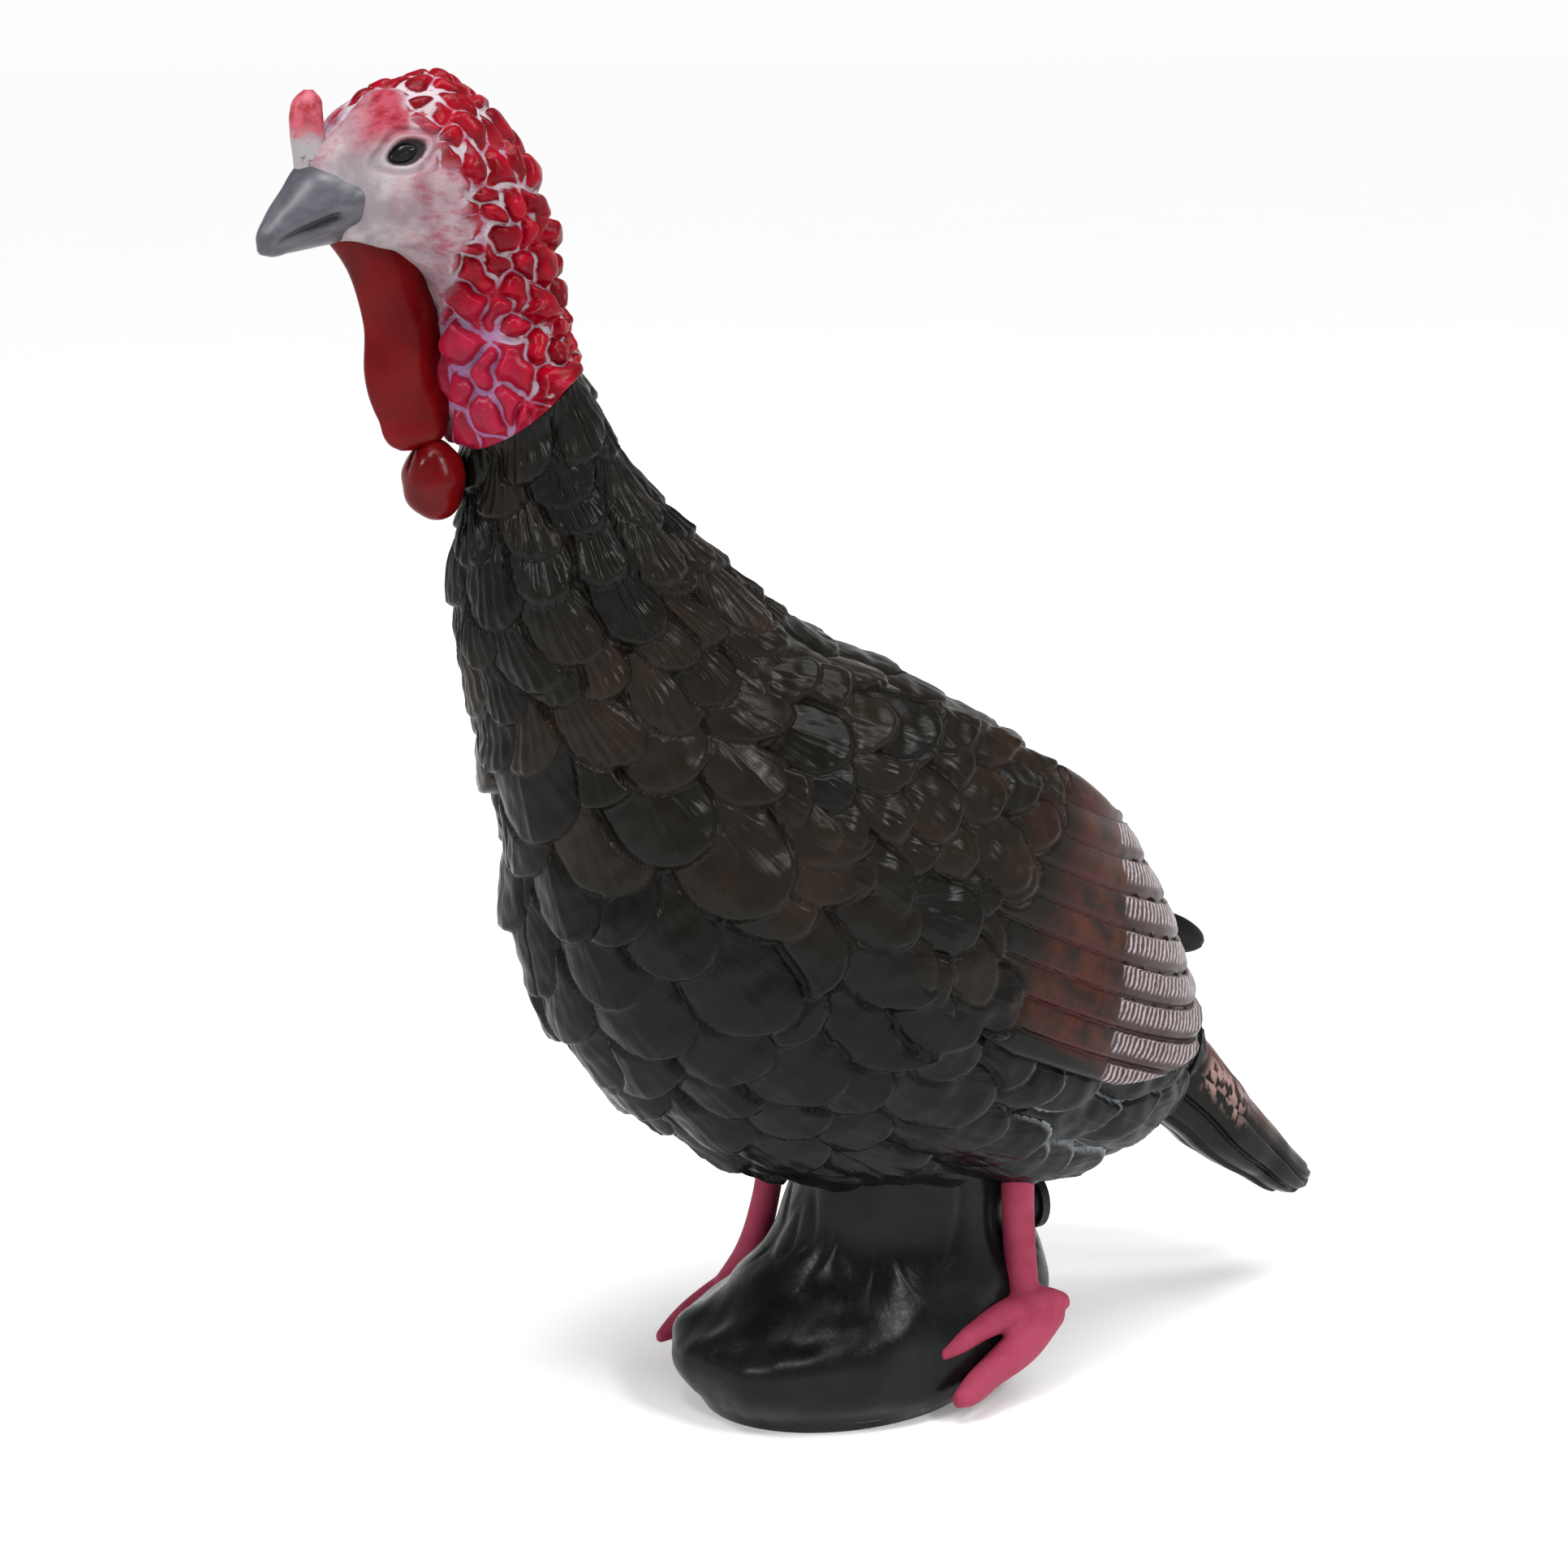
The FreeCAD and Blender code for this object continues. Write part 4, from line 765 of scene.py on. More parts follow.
def wing(side, feathers):
    """Folded wing lying on one side of the body."""
    rows, columns = panel_size(72, 32)
    turn = np.linspace(0.0, np.pi, rows)
    sweep = 0.35 * np.cos(turn) + 0.65 * (1 - 2 * turn / np.pi)
    p_line = (WING_END + WING_FRONT) / 2 - (WING_END - WING_FRONT) / 2 * sweep
    low = np.interp(p_line, *WING_LOW_EDGE.T)
    top = np.interp(p_line, *WING_TOP_EDGE.T)
    scallop = 6.0 * np.abs(np.sin(p_line / 5.4)) * smooth(p_line, 225.0, 262.0)
    top = top + scallop * smooth(WING_END - p_line, 0.0, 12.0)
    share = np.linspace(0.0, 1.0, columns)
    q = low[:, None] * (1 - share) + top[:, None] * share
    p = np.broadcast_to(p_line[:, None], q.shape)
    y = WING_START[0] + p * WING_WAY[0] + q * WING_UP[0]
    z = WING_START[1] + p * WING_WAY[1] + q * WING_UP[1]
    above_low = q - low[:, None] + 0.6 * np.maximum(p - 110.0, 0.0)
    proud = smooth(p, 2.0, 66.0) * smooth(above_low, 2.0, 46.0)
    x = body_side(y, z, 17.0 - 10.0 * smooth(p, 150.0, 330.0), -8.4) + 10.5 * proud - 1.5
    base = np.stack([x * side, y, z], axis=-1)
    out = normals(base, np.array([side, 0.0, 0.0]))
    relief, stripe_side, span = wing_relief(p, q)
    edge = np.minimum(np.minimum(q - low[:, None], top[:, None] - q),
                      np.minimum(p - WING_FRONT, WING_END - p))
    flat = 1 - np.clip(edge / 5, 0, 1)
    rounding = (1.2 + 2.6 * proud) * (1 - np.sqrt(np.clip(1 - flat**2, 0, 1)))
    pucker = lumps(base, 15.0, 9) * (relief.kind < 0.5)
    height = relief.height - rounding + 0.5 * lumps(base, 45.0, 6) + pucker
    points = base + out * height[..., None]
    inner = np.stack([np.maximum(x - 4.0 - 8.0 * proud, 1.0) * side, y, z], axis=-1)
    inner = inner * 0.985 + inner.mean(axis=(0, 1)) * 0.015
    marks = relief.marks()
    bar_line = 104.0 + (z - 180.0) * 0.24
    rust_line = 50.0 + (z - 213.0) * 0.58
    long_one = (relief.kind > 0.5) * 1.0
    from_top = smooth(top[:, None] - q, 1.5, 5.0)
    marks["bar"] = smooth(y - bar_line + 1.5 * lumps(base, 9.0, 12), -1.5, 1.5) * long_one * from_top
    marks["bar"] *= smooth(z - 150.0 + 0.2 * y, 0.0, 12.0)
    lowest = smooth(q + 58.0, 0.0, 7.0)
    rust_edge = y - rust_line + 5.0 * lumps(base, 18.0, 2)
    marks["rust"] = smooth(rust_edge, -22.0, 9.0) * (1 - marks["bar"]) * lowest
    # Lower wing: the darker grey-green colour, partly tint and partly painted shade.
    marks["cool_tint_and_shade"] = fall(z - 240.0 + 0.3 * y, -60.0, 50.0) * (1 - marks["rust"])
    marks["barb"] = 0.12 + 0 * y
    marks["pale"] = 0 * y
    marks["side"] = stripe_side
    marks["span"] = span
    sheet, faces = closed_sheet(points, inner, flip=side < 0)
    name = SIDE_NAMES[side]
    marks = padded_marks(marks, len(sheet))
    if side < 0:
        sheet, faces, marks = with_long_primary(sheet, faces, marks)
    return mesh_piece("wing_feathers_" + name, (sheet, faces), feathers, "decoy", ["wing_" + name],
                      marks)


def with_long_primary(points, faces, marks):
    """Adds the long dark primary that shows past the tail on the right wing."""
    t = np.linspace(0.0, 1.0, 60)
    turn = np.linspace(0.0, 2 * np.pi, 36, endpoint=False)
    centre = np.array([-36.0, 185.0, 216.0]) + t[:, None] * np.array([7.0, 75.0, -29.0])
    wide = 13.0 * np.sqrt(np.clip(1 - np.clip((t - 0.7) / 0.3, 0, 1) ** 2, 0.0004, 1)) * (1 - 0.25 * t)
    thin = wide * 0.46
    ridge = 0.8 * np.sin(turn * 5.0)
    ring = np.stack([np.cos(turn)[None, :] * (thin[:, None] + 0.4 * ridge * (thin[:, None] > 1)),
                     np.sin(turn)[None, :] * wide[:, None] * 0.36,
                     np.sin(turn)[None, :] * wide[:, None] * 0.93], axis=-1)
    lobe, lobe_faces = closed_tube(centre[:, None, :] + ring)
    start = len(points)
    faces = faces + [[k + start for k in face] for face in lobe_faces]
    extra = np.zeros(len(lobe))
    joined = {key: np.concatenate([values, extra]) for key, values in marks.items()}
    joined["rim"][start:] = 4.0
    joined["rust"][start:start + t.size * turn.size] = np.repeat(
        0.55 * fall(t, 0.3, 0.6), turn.size) * np.tile(np.clip(np.sin(turn), 0, 1), t.size)
    return np.concatenate([points, lobe]), faces, joined


# ---- Tail ----
# Places of the long feathers across the tail, from the lowest to the one on top.
TAIL_PLACES = (1.0, -1.0, 0.82, -0.82, 0.62, -0.62, 0.42, -0.42, 0.22, -0.22, 0.0)


def tail(feathers):
    """Folded tail of long feathers; the tang hidden in the body is made by tail_tang."""
    s, phi, base, half, out = round_sheet(TAIL, 300, 220, -2.4)
    length = s[-1]
    relief = Relief(base.shape[:2])
    x = phi[None, :] * half[:, None]
    for number, share in enumerate(TAIL_PLACES):
        across = x - share * half[:, None]
        across = np.where(across > half[:, None], across - 2 * half[:, None], across)
        across = np.where(across < -half[:, None], across + 2 * half[:, None], across)
        along = s[:, None] + 30.0 + 0 * x
        reach = 4.0 + 0.17 * half[:, None]
        relief.lay(WHOLE, across, along, reach, length + 30.0 - 7.0 * abs(share), 12.0, 3.4,
                   0.2 + 0.06 * number, 40.0, kind=1.0, soft=1.4, bulge=1.4)
    height = relief.height + 0.35 * lumps(base, 25.0, 3)
    height = height * smooth(length - s, 0.0, 5.0)[:, None]
    points = base + out * height[..., None]
    marks = relief.marks()
    top = fall(np.abs(phi), 0.2, 0.42)[None, :]
    run = (s / length)[:, None]
    marks["rust"] = top * fall(run, 0.5, 0.78) + 0 * x
    flanks = fall(np.abs(np.abs(phi) - 0.38), 0.06, 0.16)[None, :]
    marks["bar"] = flanks * fall(run, 0.3, 0.4) * smooth(run, 0.05, 0.1)
    marks["pale_tip"] = smooth(run, 0.93, 0.99) * fall(np.abs(phi), 0.2, 0.6)[None, :]
    marks["cool_tint_and_shade"] = 0.75 + 0 * x
    marks["barb"] = 0.1 + 0 * x
    marks["pale"] = 0 * x
    return mesh_piece("tail_feathers", closed_tube(points), feathers, "tail_piece", ["tail"],
                      marks)


TANG_LENGTH = 52.0
TANG_RADIUS = 10.0
TANG_EDGE = 1.4


def tail_tang(material):
    """Round tang that plugs the tail into its socket."""
    slope = math.radians(48)
    way = np.array([0.0, math.sin(slope), -math.cos(slope)])
    up = np.array([0.0, math.cos(slope), math.sin(slope)])
    root = np.array([0.0, 209.3, 136.6])
    turn = np.linspace(0, 2 * np.pi, 48, endpoint=False)
    spots = [(-TANG_LENGTH, TANG_RADIUS - TANG_EDGE), (TANG_EDGE - TANG_LENGTH, TANG_RADIUS),
             (4.0, TANG_RADIUS)]
    rings = [root + way * far + (np.cos(turn)[:, None] * up + np.sin(turn)[:, None]
                                 * np.array([1.0, 0.0, 0.0])) * radius for far, radius in spots]
    return mesh_piece("tail_tang", closed_tube(np.array(rings)), material, "tail_piece", [])


# ---- Head ----
EYE = np.array([26.0, -215.0, 618.0])
EYE_WAY = np.array([0.06, 0.93, 0.36])
EYE_UP = np.array([-0.25, -0.33, 0.91])
# How far round the neck the caruncles reach, against the distance from the seam.
CARUNCLE_LIMIT = ([0, 25, 46, 62, 75, 86, 105, 122, 136, 146],
                  [1.0, 0.99, 0.92, 0.8, 0.7, 0.6, 0.52, 0.42, 0.3, 0.1])
CARUNCLE_SIZE = ([0, 60, 95, 120, 140], [8.4, 8.0, 6.8, 5.4, 4.4])
CARUNCLE_DRAWS = 9000
CARUNCLE_SPACING = 0.86
CARUNCLE_HEIGHT = 0.86


def caruncles(s, phi, half):
    """Cobbled bumps that fill the nape and crown, with the distance from the creases between them."""
    rng = np.random.default_rng(47)
    kept = []
    for _ in range(CARUNCLE_DRAWS):
        at = rng.uniform(-4.0, 150.0)
        size = rng.uniform(0.72, 1.2) * float(np.interp(at, *CARUNCLE_SIZE))
        where = rng.uniform(-1.0, 1.0)
        girth = float(np.interp(at, s, half))
        if all(math.hypot(at - a, ((where - w + 1.0) % 2.0 - 1.0) * girth) > CARUNCLE_SPACING * (size + r)
               for a, w, r in kept):
            kept.append((at, where, size))
    first = np.full((len(s), len(phi)), 9.0)
    second = first.copy()
    wave = np.stack([s[:, None] + 0 * phi, phi * half[:, None], 0 * half[:, None] + 0 * phi], axis=-1)
    drift, slide = 2.5 * lumps(wave, 13.0, 61), 2.5 * lumps(wave, 12.0, 62)
    size_here = np.zeros(first.shape)
    rise_here = np.zeros(first.shape)
    for at, where, size in kept:
        stretch = rng.uniform(0.84, 1.2)
        lean = rng.uniform(-0.5, 0.5)
        rise = 0.35 if rng.uniform() < 0.06 else rng.uniform(0.75, 1.1)
        across = ((phi[None, :] - where + 1.0) % 2.0 - 1.0) * half[:, None] + slide
        along = s[:, None] - at + drift
        far = np.hypot(along / stretch, (across + lean * along) * stretch) / size
        nearer = far < first
        second = np.where(nearer, first, np.minimum(second, far))
        size_here = np.where(nearer, size, size_here)
        rise_here = np.where(nearer, rise, rise_here)
        first = np.where(nearer, far, first)
    crease = second - first
    dome = np.sqrt(np.clip(1.0 - (0.82 * first) ** 2, 0.0, 1.0)) * smooth(crease, -0.12, 0.95)
    knob = smooth(crease, 0.0, 0.62) * fall(first, 1.2, 1.7) * np.clip(rise_here * 1.6, 0, 1)
    return CARUNCLE_HEIGHT * size_here * rise_here * dome, knob


def head(material):
    """Head and upper neck in one painted skin."""
    s, phi, plain, half, out = round_sheet(HEAD, 284, 340)
    round_neck = np.abs(phi)[None, :]
    bumps, knob = caruncles(s, phi, half)
    limit = np.interp(s, *CARUNCLE_LIMIT)[:, None] + 0.05 * lumps(plain, 17.0, 51)
    field = smooth(limit - round_neck, -0.05, 0.05)
    bumps = bumps * field * (1.0 - 0.45 * smooth(s, 104.0, 142.0)[:, None])
    sink = -2.2 * smooth(s, 6.0, 26.0)[:, None] * field
    height = sink + bumps + 0.2 * lumps(plain, 6.0, 52) * field
    seam = smooth(s, 0.0, 4.0)[:, None]
    height = height * seam + 0.3 * (1.0 - seam)
    nearest = np.full(height.shape, 9.0)
    for way in (1.0, -1.0):
        flip = np.array([way, 1.0, 1.0])
        away = plain - EYE * flip
        along, up = away @ (EYE_WAY * flip) / 8.8, away @ (EYE_UP * flip) / 5.2
        rho = np.sqrt(along**2 + up**2 * (1.0 + 0.5 * along**2))
        rho = np.where(plain[..., 0] * way > 5.0, rho, 9.0)
        height += 0.9 * bell(rho, 1.25, 0.16) - 0.7 * bell(rho, 1.75, 0.2)
        height += 0.8 * bell(rho, 2.2, 0.25) * smooth(up, 0.2, 1.2)
        height -= 1.6 * smooth(1.1 - rho, 0.0, 0.25)
        nearest = np.minimum(nearest, rho)
    height += 0.5 * lumps(plain, 16.0, 9) * (1.0 - field)
    crest = np.linalg.norm(plain - np.array([0.0, -190.0, 644.0]), axis=-1)
    height += 4.5 * bell(crest, 0.0, 8.0)
    height += 1.2 * bell(s[:, None], 132.0, 13.0) * bell(round_neck, 0.72, 0.13)
    points = plain + out * height[..., None]
    marks = {"knob": knob * field, "webs": field,
             "wash": smooth(limit + 0.36 - round_neck, 0.0, 0.3),
             "crown": smooth(0.5 - round_neck, 0.0, 0.2) * smooth(s, 92.0, 112.0)[:, None]
             * fall(s, 146.0, 160.0)[:, None],
             "purple": fall(s, 34.0, 62.0)[:, None] * smooth(round_neck, 0.45, 0.7),
             "lid": bell(nearest, 1.25, 0.16),
             "lash": smooth(1.06 - nearest, 0.0, 0.08)}
    return mesh_piece("head_paint", closed_tube(points), material, "head", ["head_skin"],
                      {key: values + 0 * height for key, values in marks.items()})


def eye(side, material):
    """Glossy almond eye under its lid."""
    turn = np.linspace(0, 2 * np.pi, 64, endpoint=False)
    lift = np.linspace(-1.0, 1.0, 33) * math.pi / 2
    flip = np.array([side, 1.0, 1.0])
    out = np.cross(EYE_WAY, EYE_UP)
    out = out / np.linalg.norm(out) * np.sign(out[0])
    centre = EYE - out * 3.5
    rings = []
    for angle in lift:
        wide, deep = math.cos(angle), math.sin(angle)
        rim = (np.cos(turn)[:, None] * EYE_WAY * 8.4 + np.sin(turn)[:, None] * EYE_UP * 4.9
               * (1 - 0.35 * np.cos(turn)[:, None] ** 2)) * wide
        rings.append((centre + rim + out * deep * 3.9) * flip)
    name = SIDE_NAMES[side]
    return mesh_piece("eye_gloss_" + name, closed_tube(np.array(rings), flip=side < 0), material, "head",
                      ["eye_" + name])


def beak(material):
    """Hooked beak with a groove along each side for the mouth."""
    s, phi, base, half, out = round_sheet(BEAK, 170, 260)
    level = 0.55 + 0.03 * np.sin(s / 9.0)[:, None]
    away = (np.abs(phi)[None, :] - level) * half[:, None]
    reach = fall(s, 20.0, 44.0)[:, None]
    opening = smooth(s, 12.5, 18.0)[:, None] * fall(s, 38.0, 45.0)[:, None]
    groove = bell(away, 0.0, 0.9 + 0.7 * reach) * opening
    height = -2.8 * groove * (0.3 + 0.7 * reach)
    lips = bell(away, 3.8, 2.4) + 0.9 * bell(away, -3.6, 2.2)
    start = smooth(s, 5.0, 15.0)[:, None]
    height += lips * reach * start + 2.2 * bell(s[:, None], 8.0, 6.0) * fall(np.abs(away), 2.0, 13.0)
    height += 0.8 * bell(phi[None, :] * half[:, None], 0.0, 2.6)
    height = height * smooth(s[-1] - s, 0.0, 4.0)[:, None]
    points = base + out * height[..., None]
    marks = {"mouth": groove * (0.4 + 0.6 * reach)}
    return mesh_piece("beak_paint", closed_tube(points), material, "head", ["beak"],
                      marks)


def level_piece(name, stations, grid, seed, rough, size, material, body, nodes, top=False):
    """Soft-edged upright piece made of level sections with a little uneven relief."""
    length = path_lengths(stations)[-1]
    s = np.linspace(0.0, length, grid[0] // COARSE)
    phi = np.linspace(0.0, 1.0, grid[1] // COARSE, endpoint=False)
    base = level_sheet(stations, s, phi)
    out = normals(base, from_middle(base))
    fade = smooth(np.minimum(s, length - s), 0.0, 4.0)[:, None]
    folds = lumps(base * np.array([1.0, 1.0, 0.35]), size, seed)
    points = base + out * (rough * folds * fade)[..., None]
    marks = {"top": (s / length)[:, None] * np.ones(len(phi))} if top else {}
    return mesh_piece(name, closed_tube(points), material, body, nodes, marks)


def wattle_ball(material):
    """Hanging ball of skin with a crease pressed into its front."""
    turn = np.linspace(0, 2 * np.pi, 120, endpoint=False)
    lift = np.linspace(-math.pi / 2, math.pi / 2, 80)
    side = np.cos(lift)[:, None]
    way = np.stack([side * np.sin(turn), -side * np.cos(turn), np.sin(lift)[:, None] + 0 * turn], axis=-1)
    centre = np.array([0.0, -195.2, 475.8])
    base = centre + way * np.array([14.2, 14.0, 17.8])
    front = smooth(way[..., 2], 0.1, 0.6) * fall(way[..., 1], -0.5, 0.1)
    crease = bell(way[..., 0] + 0.5 * way[..., 2], 0.25, 0.1) * front
    height = 0.7 * lumps(base, 15.0, 4) - 1.5 * crease
    surface = closed_tube(base + way * height[..., None])
    return mesh_piece("wattle_ball_paint", surface, material, "head", ["wattle_ball"])


# ---- Legs and rock ----
def limb_tube(stations, upright):
    """Closed tube through level or upright sections of a leg."""
    table = np.array(stations, float)
    s = np.linspace(0.0, path_lengths(table, (0, 1, 2))[-1], 40)
    x, y, z, a, b = through(path_lengths(table, (0, 1, 2)), table, s).T
    turn = np.linspace(0, 2 * np.pi, 40, endpoint=False)
    first, second = a[:, None] * np.cos(turn), b[:, None] * np.sin(turn)
    if upright:
        grid = np.stack([x[:, None] + second, y[:, None] + 0 * turn, z[:, None] + first], axis=-1)
    else:
        grid = np.stack([x[:, None] + second, y[:, None] + first, z[:, None] + 0 * turn], axis=-1)
    return closed_tube(grid)


def leg(name, shank, toes, material):
    """Leg and foot blended into one soft solid."""
    points, faces = limb_tube(shank, False)
    for toe in toes:
        more, more_faces = limb_tube(toe, True)
        faces = faces + [[k + len(points) for k in face] for face in more_faces]
        points = np.concatenate([points, more])
    rough = mesh_piece(name + "_rough", (points, faces), material, "decoy", [])
    remesh = rough.modifiers.new("blend", "REMESH")
    remesh.mode = "VOXEL"
    remesh.voxel_size = 0.0011 * COARSE
    soften = rough.modifiers.new("soften", "SMOOTH")
    soften.factor = 0.6
    soften.iterations = 14
    solid = bpy.data.meshes.new_from_object(rough.evaluated_get(bpy.context.evaluated_depsgraph_get()))
    bpy.data.objects.remove(rough)
    solid.name = name + "_paint"
    solid.polygons.foreach_set("use_smooth", [True] * len(solid.polygons))
    thing = linked(name + "_paint", solid)
    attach(thing, "decoy")
    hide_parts(name)
    return thing


LEFT_SHANK = [(45, 90, 135, 9.0, 8.4), (48, 90, 80, 8.4, 8), (53, 90, 50, 8.6, 8.4), (56, 90, 36, 9.5, 9)]
LEFT_TOES = [
    [(56, 90, 45, 9, 8), (61, 62, 43, 7, 7), (65, 42, 38, 5, 5), (66, 33, 35, 2.8, 2.8)],
    [(60, 107, 42, 8, 6.5), (64, 88, 33, 12, 9), (69, 62, 22.5, 9, 8), (73, 44, 15.5, 7, 6.5),
     (74, 36, 13, 3.5, 3.5)],
    [(58, 84, 47, 8.5, 8), (60, 101, 47, 7.5, 7), (60, 112, 45, 4, 4)],
]
RIGHT_SHANK = [(-51, 4, 150, 7.5, 7), (-53, 2, 85, 7.5, 7), (-58, -5, 54, 8.5, 8), (-62, -13, 38, 9.5, 9)]
RIGHT_TOES = [
    [(-62, -2, 38, 10, 8), (-67, -24, 28, 8, 7.5), (-68, -44, 17, 6.5, 6), (-66, -55, 13, 3, 3)],
    [(-64, 0, 34, 9, 7.5), (-71, -12, 20, 7, 6.5), (-74, -27, 11, 5, 5), (-74, -35, 9, 2.8, 2.8)],
    [(-62, -12, 40, 8.5, 7.5), (-65, 8, 36, 6.5, 6), (-66, 20, 31, 3.5, 3.5)],
]
ROCK_ROOM = 1.6         # the lumps rise from this far inside the CAD rock
ROCK_INSIDE = 6.4
ROCK_RELIEF = 2.5
HEEL_SWELL = 9.0        # extra bulge low down at the rear left


def rock(material):
    """Lumpy moulded rock with a hollow foot."""
    length = path_lengths(ROCK)[-1]
    s = np.linspace(0.0, length, 236 // COARSE)
    phi = np.linspace(0.0, 1.0, 400 // COARSE, endpoint=False)
    base = level_sheet(ROCK, s, phi, -ROCK_ROOM)
    out = normals(base, from_middle(base))
    height = 2.0 * lumps(base, 60.0, 21) + 2.0 * lumps(base, 38.0, 22) + 0.4 * lumps(base, 16.0, 23)
    column = smooth(base[..., 2], 55.0, 90.0)
    folds = lumps(base * np.array([1.0, 1.0, 0.25]), 26.0, 31)
    height += column * (1.2 * folds - bell(folds, 0.0, 0.2))
    away = from_middle(base)
    heel = bell(np.arctan2(away[..., 0], away[..., 1]), 0.42, 0.4) * bell(base[..., 2], 36.0, 20.0)
    height = ROCK_RELIEF * np.tanh(height / ROCK_RELIEF) + HEEL_SWELL * heel
    height = height * smooth(s, 0.0, 10.0)[:, None]
    points = base + out * height[..., None]
    foot = level_sheet(ROCK, s[:1], phi, -ROCK_INSIDE)
    inner = np.stack([foot[0] + np.array([0.0, 0.0, 5.0]), foot[0]])
    surface = closed_tube(np.concatenate([inner, points]))
    return mesh_piece("rock_paint", surface, material, "decoy", ["base_shell"])


def sand_fill(material):
    """Ballast in the hollow of the rock, with an uneven top."""
    table = through(path_lengths(ROCK), ROCK, np.linspace(6.0, 47.0, 12))
    phi = np.linspace(0.0, 1.0, 80, endpoint=False)
    rings = level_sheet(table, path_lengths(table), phi, -7.0)
    shrink = np.linspace(1.0, 0.02, 12)[1:]
    centre = rings[-1].mean(axis=0)
    top = centre + (rings[-1] - centre) * shrink[:, None, None]
    top[..., 2] -= 0.8 + 0.8 * lumps(top, 18.0, 44)
    surface = closed_tube(np.concatenate([rings, top]))
    return mesh_piece("sand_fill", surface, material, "decoy", ["ballast_sand"])


def rock_material():
    """Satin dark grey rock with a faint mottle."""
    paint = Paint("rock_paint")
    broad = paint.noise(28.0, 4.0, 0.55)
    fine = paint.noise(330.0, 5.0, 0.65)
    colour = paint.fade(broad, 0.35, 0.65, srgb(11, 12, 12), srgb(20, 22, 22))
    colour = paint.mix(paint.step(fine, 0.6, 0.8, 0.0, 0.35), colour, srgb(40, 42, 40))
    height = paint.plus(paint.times(fine, 0.35), broad)
    return paint.finish(colour, paint.step(fine, 0.3, 0.7, 0.22, 0.34), paint.bump(height, 0.0008, 0.5),
                        Specular_IOR_Level=0.13)


# ---- Build ----
FEATHERS = feather_material("body_feathers")
WING_FEATHERS = feather_material("wing_feathers", wing=True)
TAIL_FEATHERS = feather_material("tail_feathers", tail=True)
body_half(1.0, FEATHERS)
body_half(-1.0, FEATHERS)
wing(1.0, WING_FEATHERS)
wing(-1.0, WING_FEATHERS)
NYLON = plain_material("natural_nylon", srgb(206, 202, 190), 0.45, grain=500.0, vary=0.12)
tail(TAIL_FEATHERS)
tail_tang(NYLON)
head(skin_material())
EYE_GLOSS = smooth_paint("eye_gloss", srgb(14, 13, 14), srgb(30, 27, 27), 0.14, 120.0, 0.00005)
eye(1.0, EYE_GLOSS)
eye(-1.0, EYE_GLOSS)
beak(beak_material())
DEWLAP_RED = smooth_paint("dewlap_red", srgb(74, 2, 4), srgb(97, 4, 6), 0.3, 34.0)
level_piece("dewlap_paint", DEWLAP, (150, 150), 12, 1.9, 17.0, DEWLAP_RED, "head", ["dewlap"])
wattle_ball(smooth_paint("ball_red", srgb(74, 4, 6), srgb(97, 7, 9), 0.22, 50.0))
level_piece("snood_paint", SNOOD, (90, 90), 14, 0.5, 9.0, snood_material(), "head", ["snood"],
            top=True)
PINK = smooth_paint("leg_pink", srgb(136, 46, 68), srgb(154, 60, 84), 0.6, 45.0, 0.0003)
leg("leg_left", LEFT_SHANK, LEFT_TOES, PINK)
leg("leg_right", RIGHT_SHANK, RIGHT_TOES, PINK)
rock(rock_material())
sand_fill(plain_material("dry_sand", srgb(176, 152, 118), 0.9, grain=1500.0, vary=0.35))

SLOT_FINISHES = {
    "steel_zinc": plain_material("zinc_steel", srgb(176, 176, 172), 0.34, 1.0, 700.0, 0.2, (1, 1, 6)),
    "base_plate": plain_material("black_sheet", srgb(38, 38, 38), 0.5),
    "sleeve_nylon": plain_material("grey_nylon", srgb(110, 110, 106), 0.48, grain=450.0),
    "plug_rubber": plain_material("plug_rubber", srgb(17, 17, 17), 0.66, grain=800.0, vary=0.3),
    "former_board": plain_material("birch_board", srgb(190, 154, 110), 0.6, grain=180.0, vary=0.2,
                                   stretch=(1, 1, 9)),
    "nylon_white": NYLON,
    "core_foam": plain_material("rigid_foam", srgb(200, 190, 158), 0.85, grain=1300.0, vary=0.2),
    "washer_felt": plain_material("grey_felt", srgb(150, 147, 140), 0.95, grain=1600.0, vary=0.3),
}
# The socket shows as a thin ring round the tail, so it is moulded in dark nylon.
NODE_FINISHES = {"tail_socket": plain_material("dark_nylon", srgb(24, 24, 23), 0.5, grain=450.0)}
NODE_SLOTS = {part["node"]: part["material_slot"] for part in frame["record"]["subparts"]}
for node_name, node_object in frame["nodes"].items():
    finish = NODE_FINISHES.get(node_name, SLOT_FINISHES.get(NODE_SLOTS[node_name]))
    if finish is None or node_object.hide_render:
        continue
    if not node_object.material_slots:
        node_object.data.materials.append(finish)
    for place in node_object.material_slots:
        place.material = finish

# ---- Floor, light and camera ----
floor_paint = Paint("pale_floor")
floor_tone = floor_paint.noise(3.0, 2.0, 0.5)
floor_colour = floor_paint.mix(floor_tone, srgb(250, 250, 250), srgb(253, 253, 253))
floor_paint.finish(floor_colour, 0.7, Emission_Strength=0.16)
floor_mesh = bpy.data.meshes.new("floor")
floor_mesh.from_pydata([(-30, -30, 0), (30, -30, 0), (30, 30, 0), (-30, 30, 0)], [], [(0, 1, 2, 3)])
floor_mesh.materials.append(floor_paint.material)
floor = linked("floor", floor_mesh)


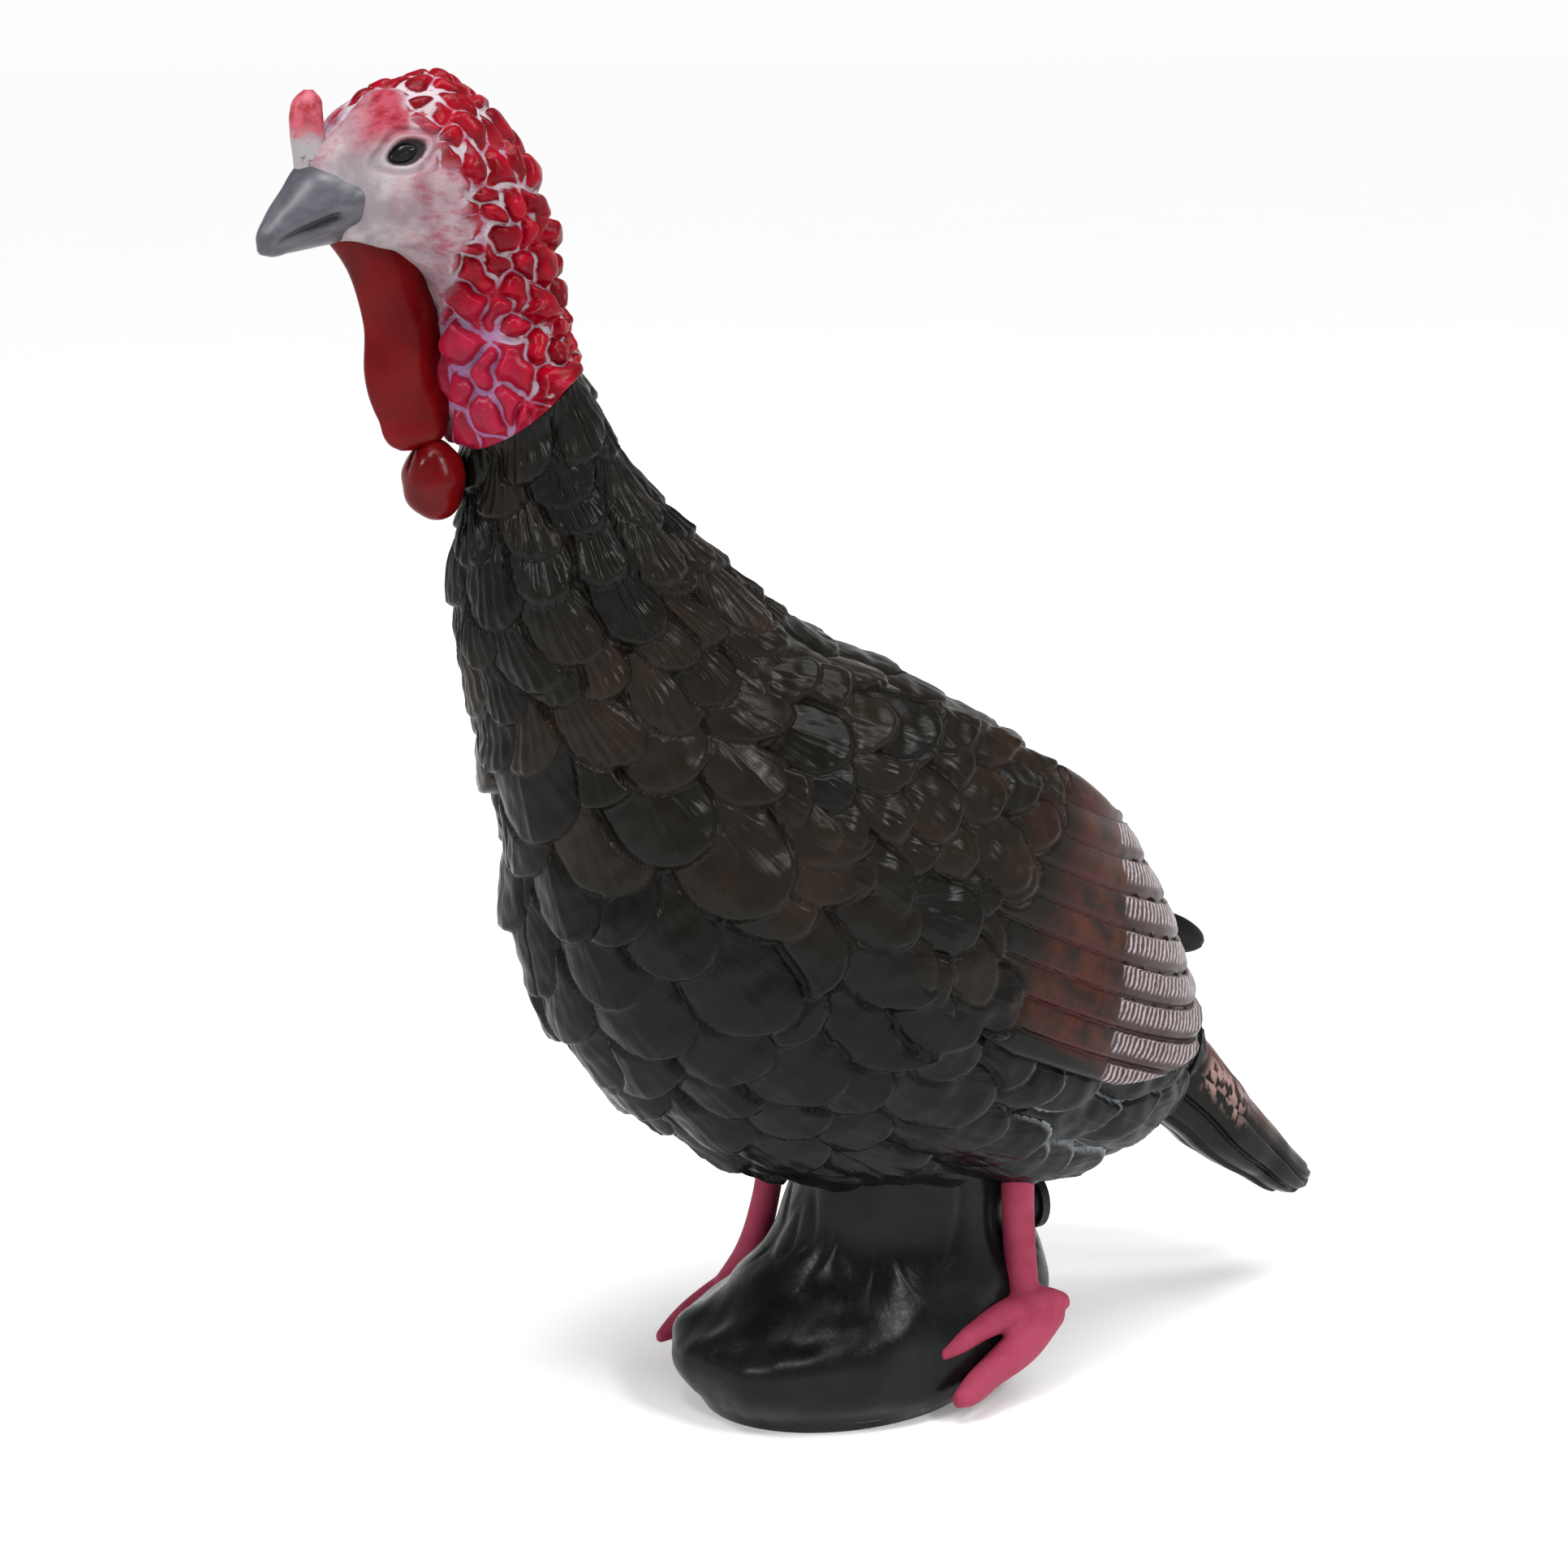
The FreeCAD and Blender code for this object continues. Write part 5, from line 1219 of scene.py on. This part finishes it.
def aim(thing, target, azimuth, elevation, distance):
    """Place an object at a distance from a point, facing it.  Azimuth 0 looks at the bird's face."""
    a, e = math.radians(azimuth), math.radians(elevation)
    back = Vector((math.sin(a) * math.cos(e), -math.cos(a) * math.cos(e), math.sin(e)))
    thing.location = Vector(target) + back * distance
    thing.rotation_mode = "QUATERNION"
    thing.rotation_quaternion = (-back).to_track_quat("-Z", "Y")


def soft_light(name, azimuth, elevation, distance, size, power):
    """Square area light that faces the middle of the bird."""
    data = bpy.data.lights.new(name, "AREA")
    data.shape = "SQUARE"
    data.size = size
    data.energy = power
    lamp = linked(name, data)
    aim(lamp, (0.0, -0.02, 0.32), azimuth, elevation, distance)


soft_light("top_box", 40.0, 66.0, 2.0, 0.55, 19.0)
soft_light("left_box", 8.0, 36.0, 2.4, 0.45, 20.0)
soft_light("right_box", 112.0, 40.0, 2.4, 0.45, 21.0)

overhead_light = bpy.data.lights.new("overhead", "SUN")
overhead_light.energy = 1.75
overhead_light.angle = math.radians(40.0)
overhead = linked("overhead", overhead_light)
overhead.rotation_euler = (math.radians(-14.0), math.radians(10.0), 0.0)

# The studio is bright at the horizon, where it meets the floor, and dimmer overhead.
world = bpy.data.worlds.new("studio")
world.use_nodes = True
sky = world.node_tree
way = sky.nodes.new("ShaderNodeTexCoord")
parts = sky.nodes.new("ShaderNodeSeparateXYZ")
gradient = sky.nodes.new("ShaderNodeMapRange")
gradient.inputs["From Min"].default_value = 0.16
gradient.inputs["From Max"].default_value = 0.5
gradient.inputs["To Min"].default_value = 0.98
gradient.inputs["To Max"].default_value = 0.24
sky.links.new(way.outputs["Generated"], parts.inputs[0])
sky.links.new(parts.outputs["Z"], gradient.inputs["Value"])
sky.links.new(gradient.outputs[0], sky.nodes["Background"].inputs["Strength"])
sky.nodes["Background"].inputs["Color"].default_value = (1.0, 1.0, 1.0, 1.0)
bpy.context.scene.world = world
bpy.context.scene.view_settings.view_transform = "Standard"

camera_data = bpy.data.cameras.new("camera")
camera_data.lens = 72.0
camera_data.sensor_width = 36.0
camera_data.dof.use_dof = False
camera = linked("camera", camera_data)
aim(camera, (0.0, -0.018, 0.316), 60.0, 14.0, 1.5)
bpy.context.scene.camera = camera
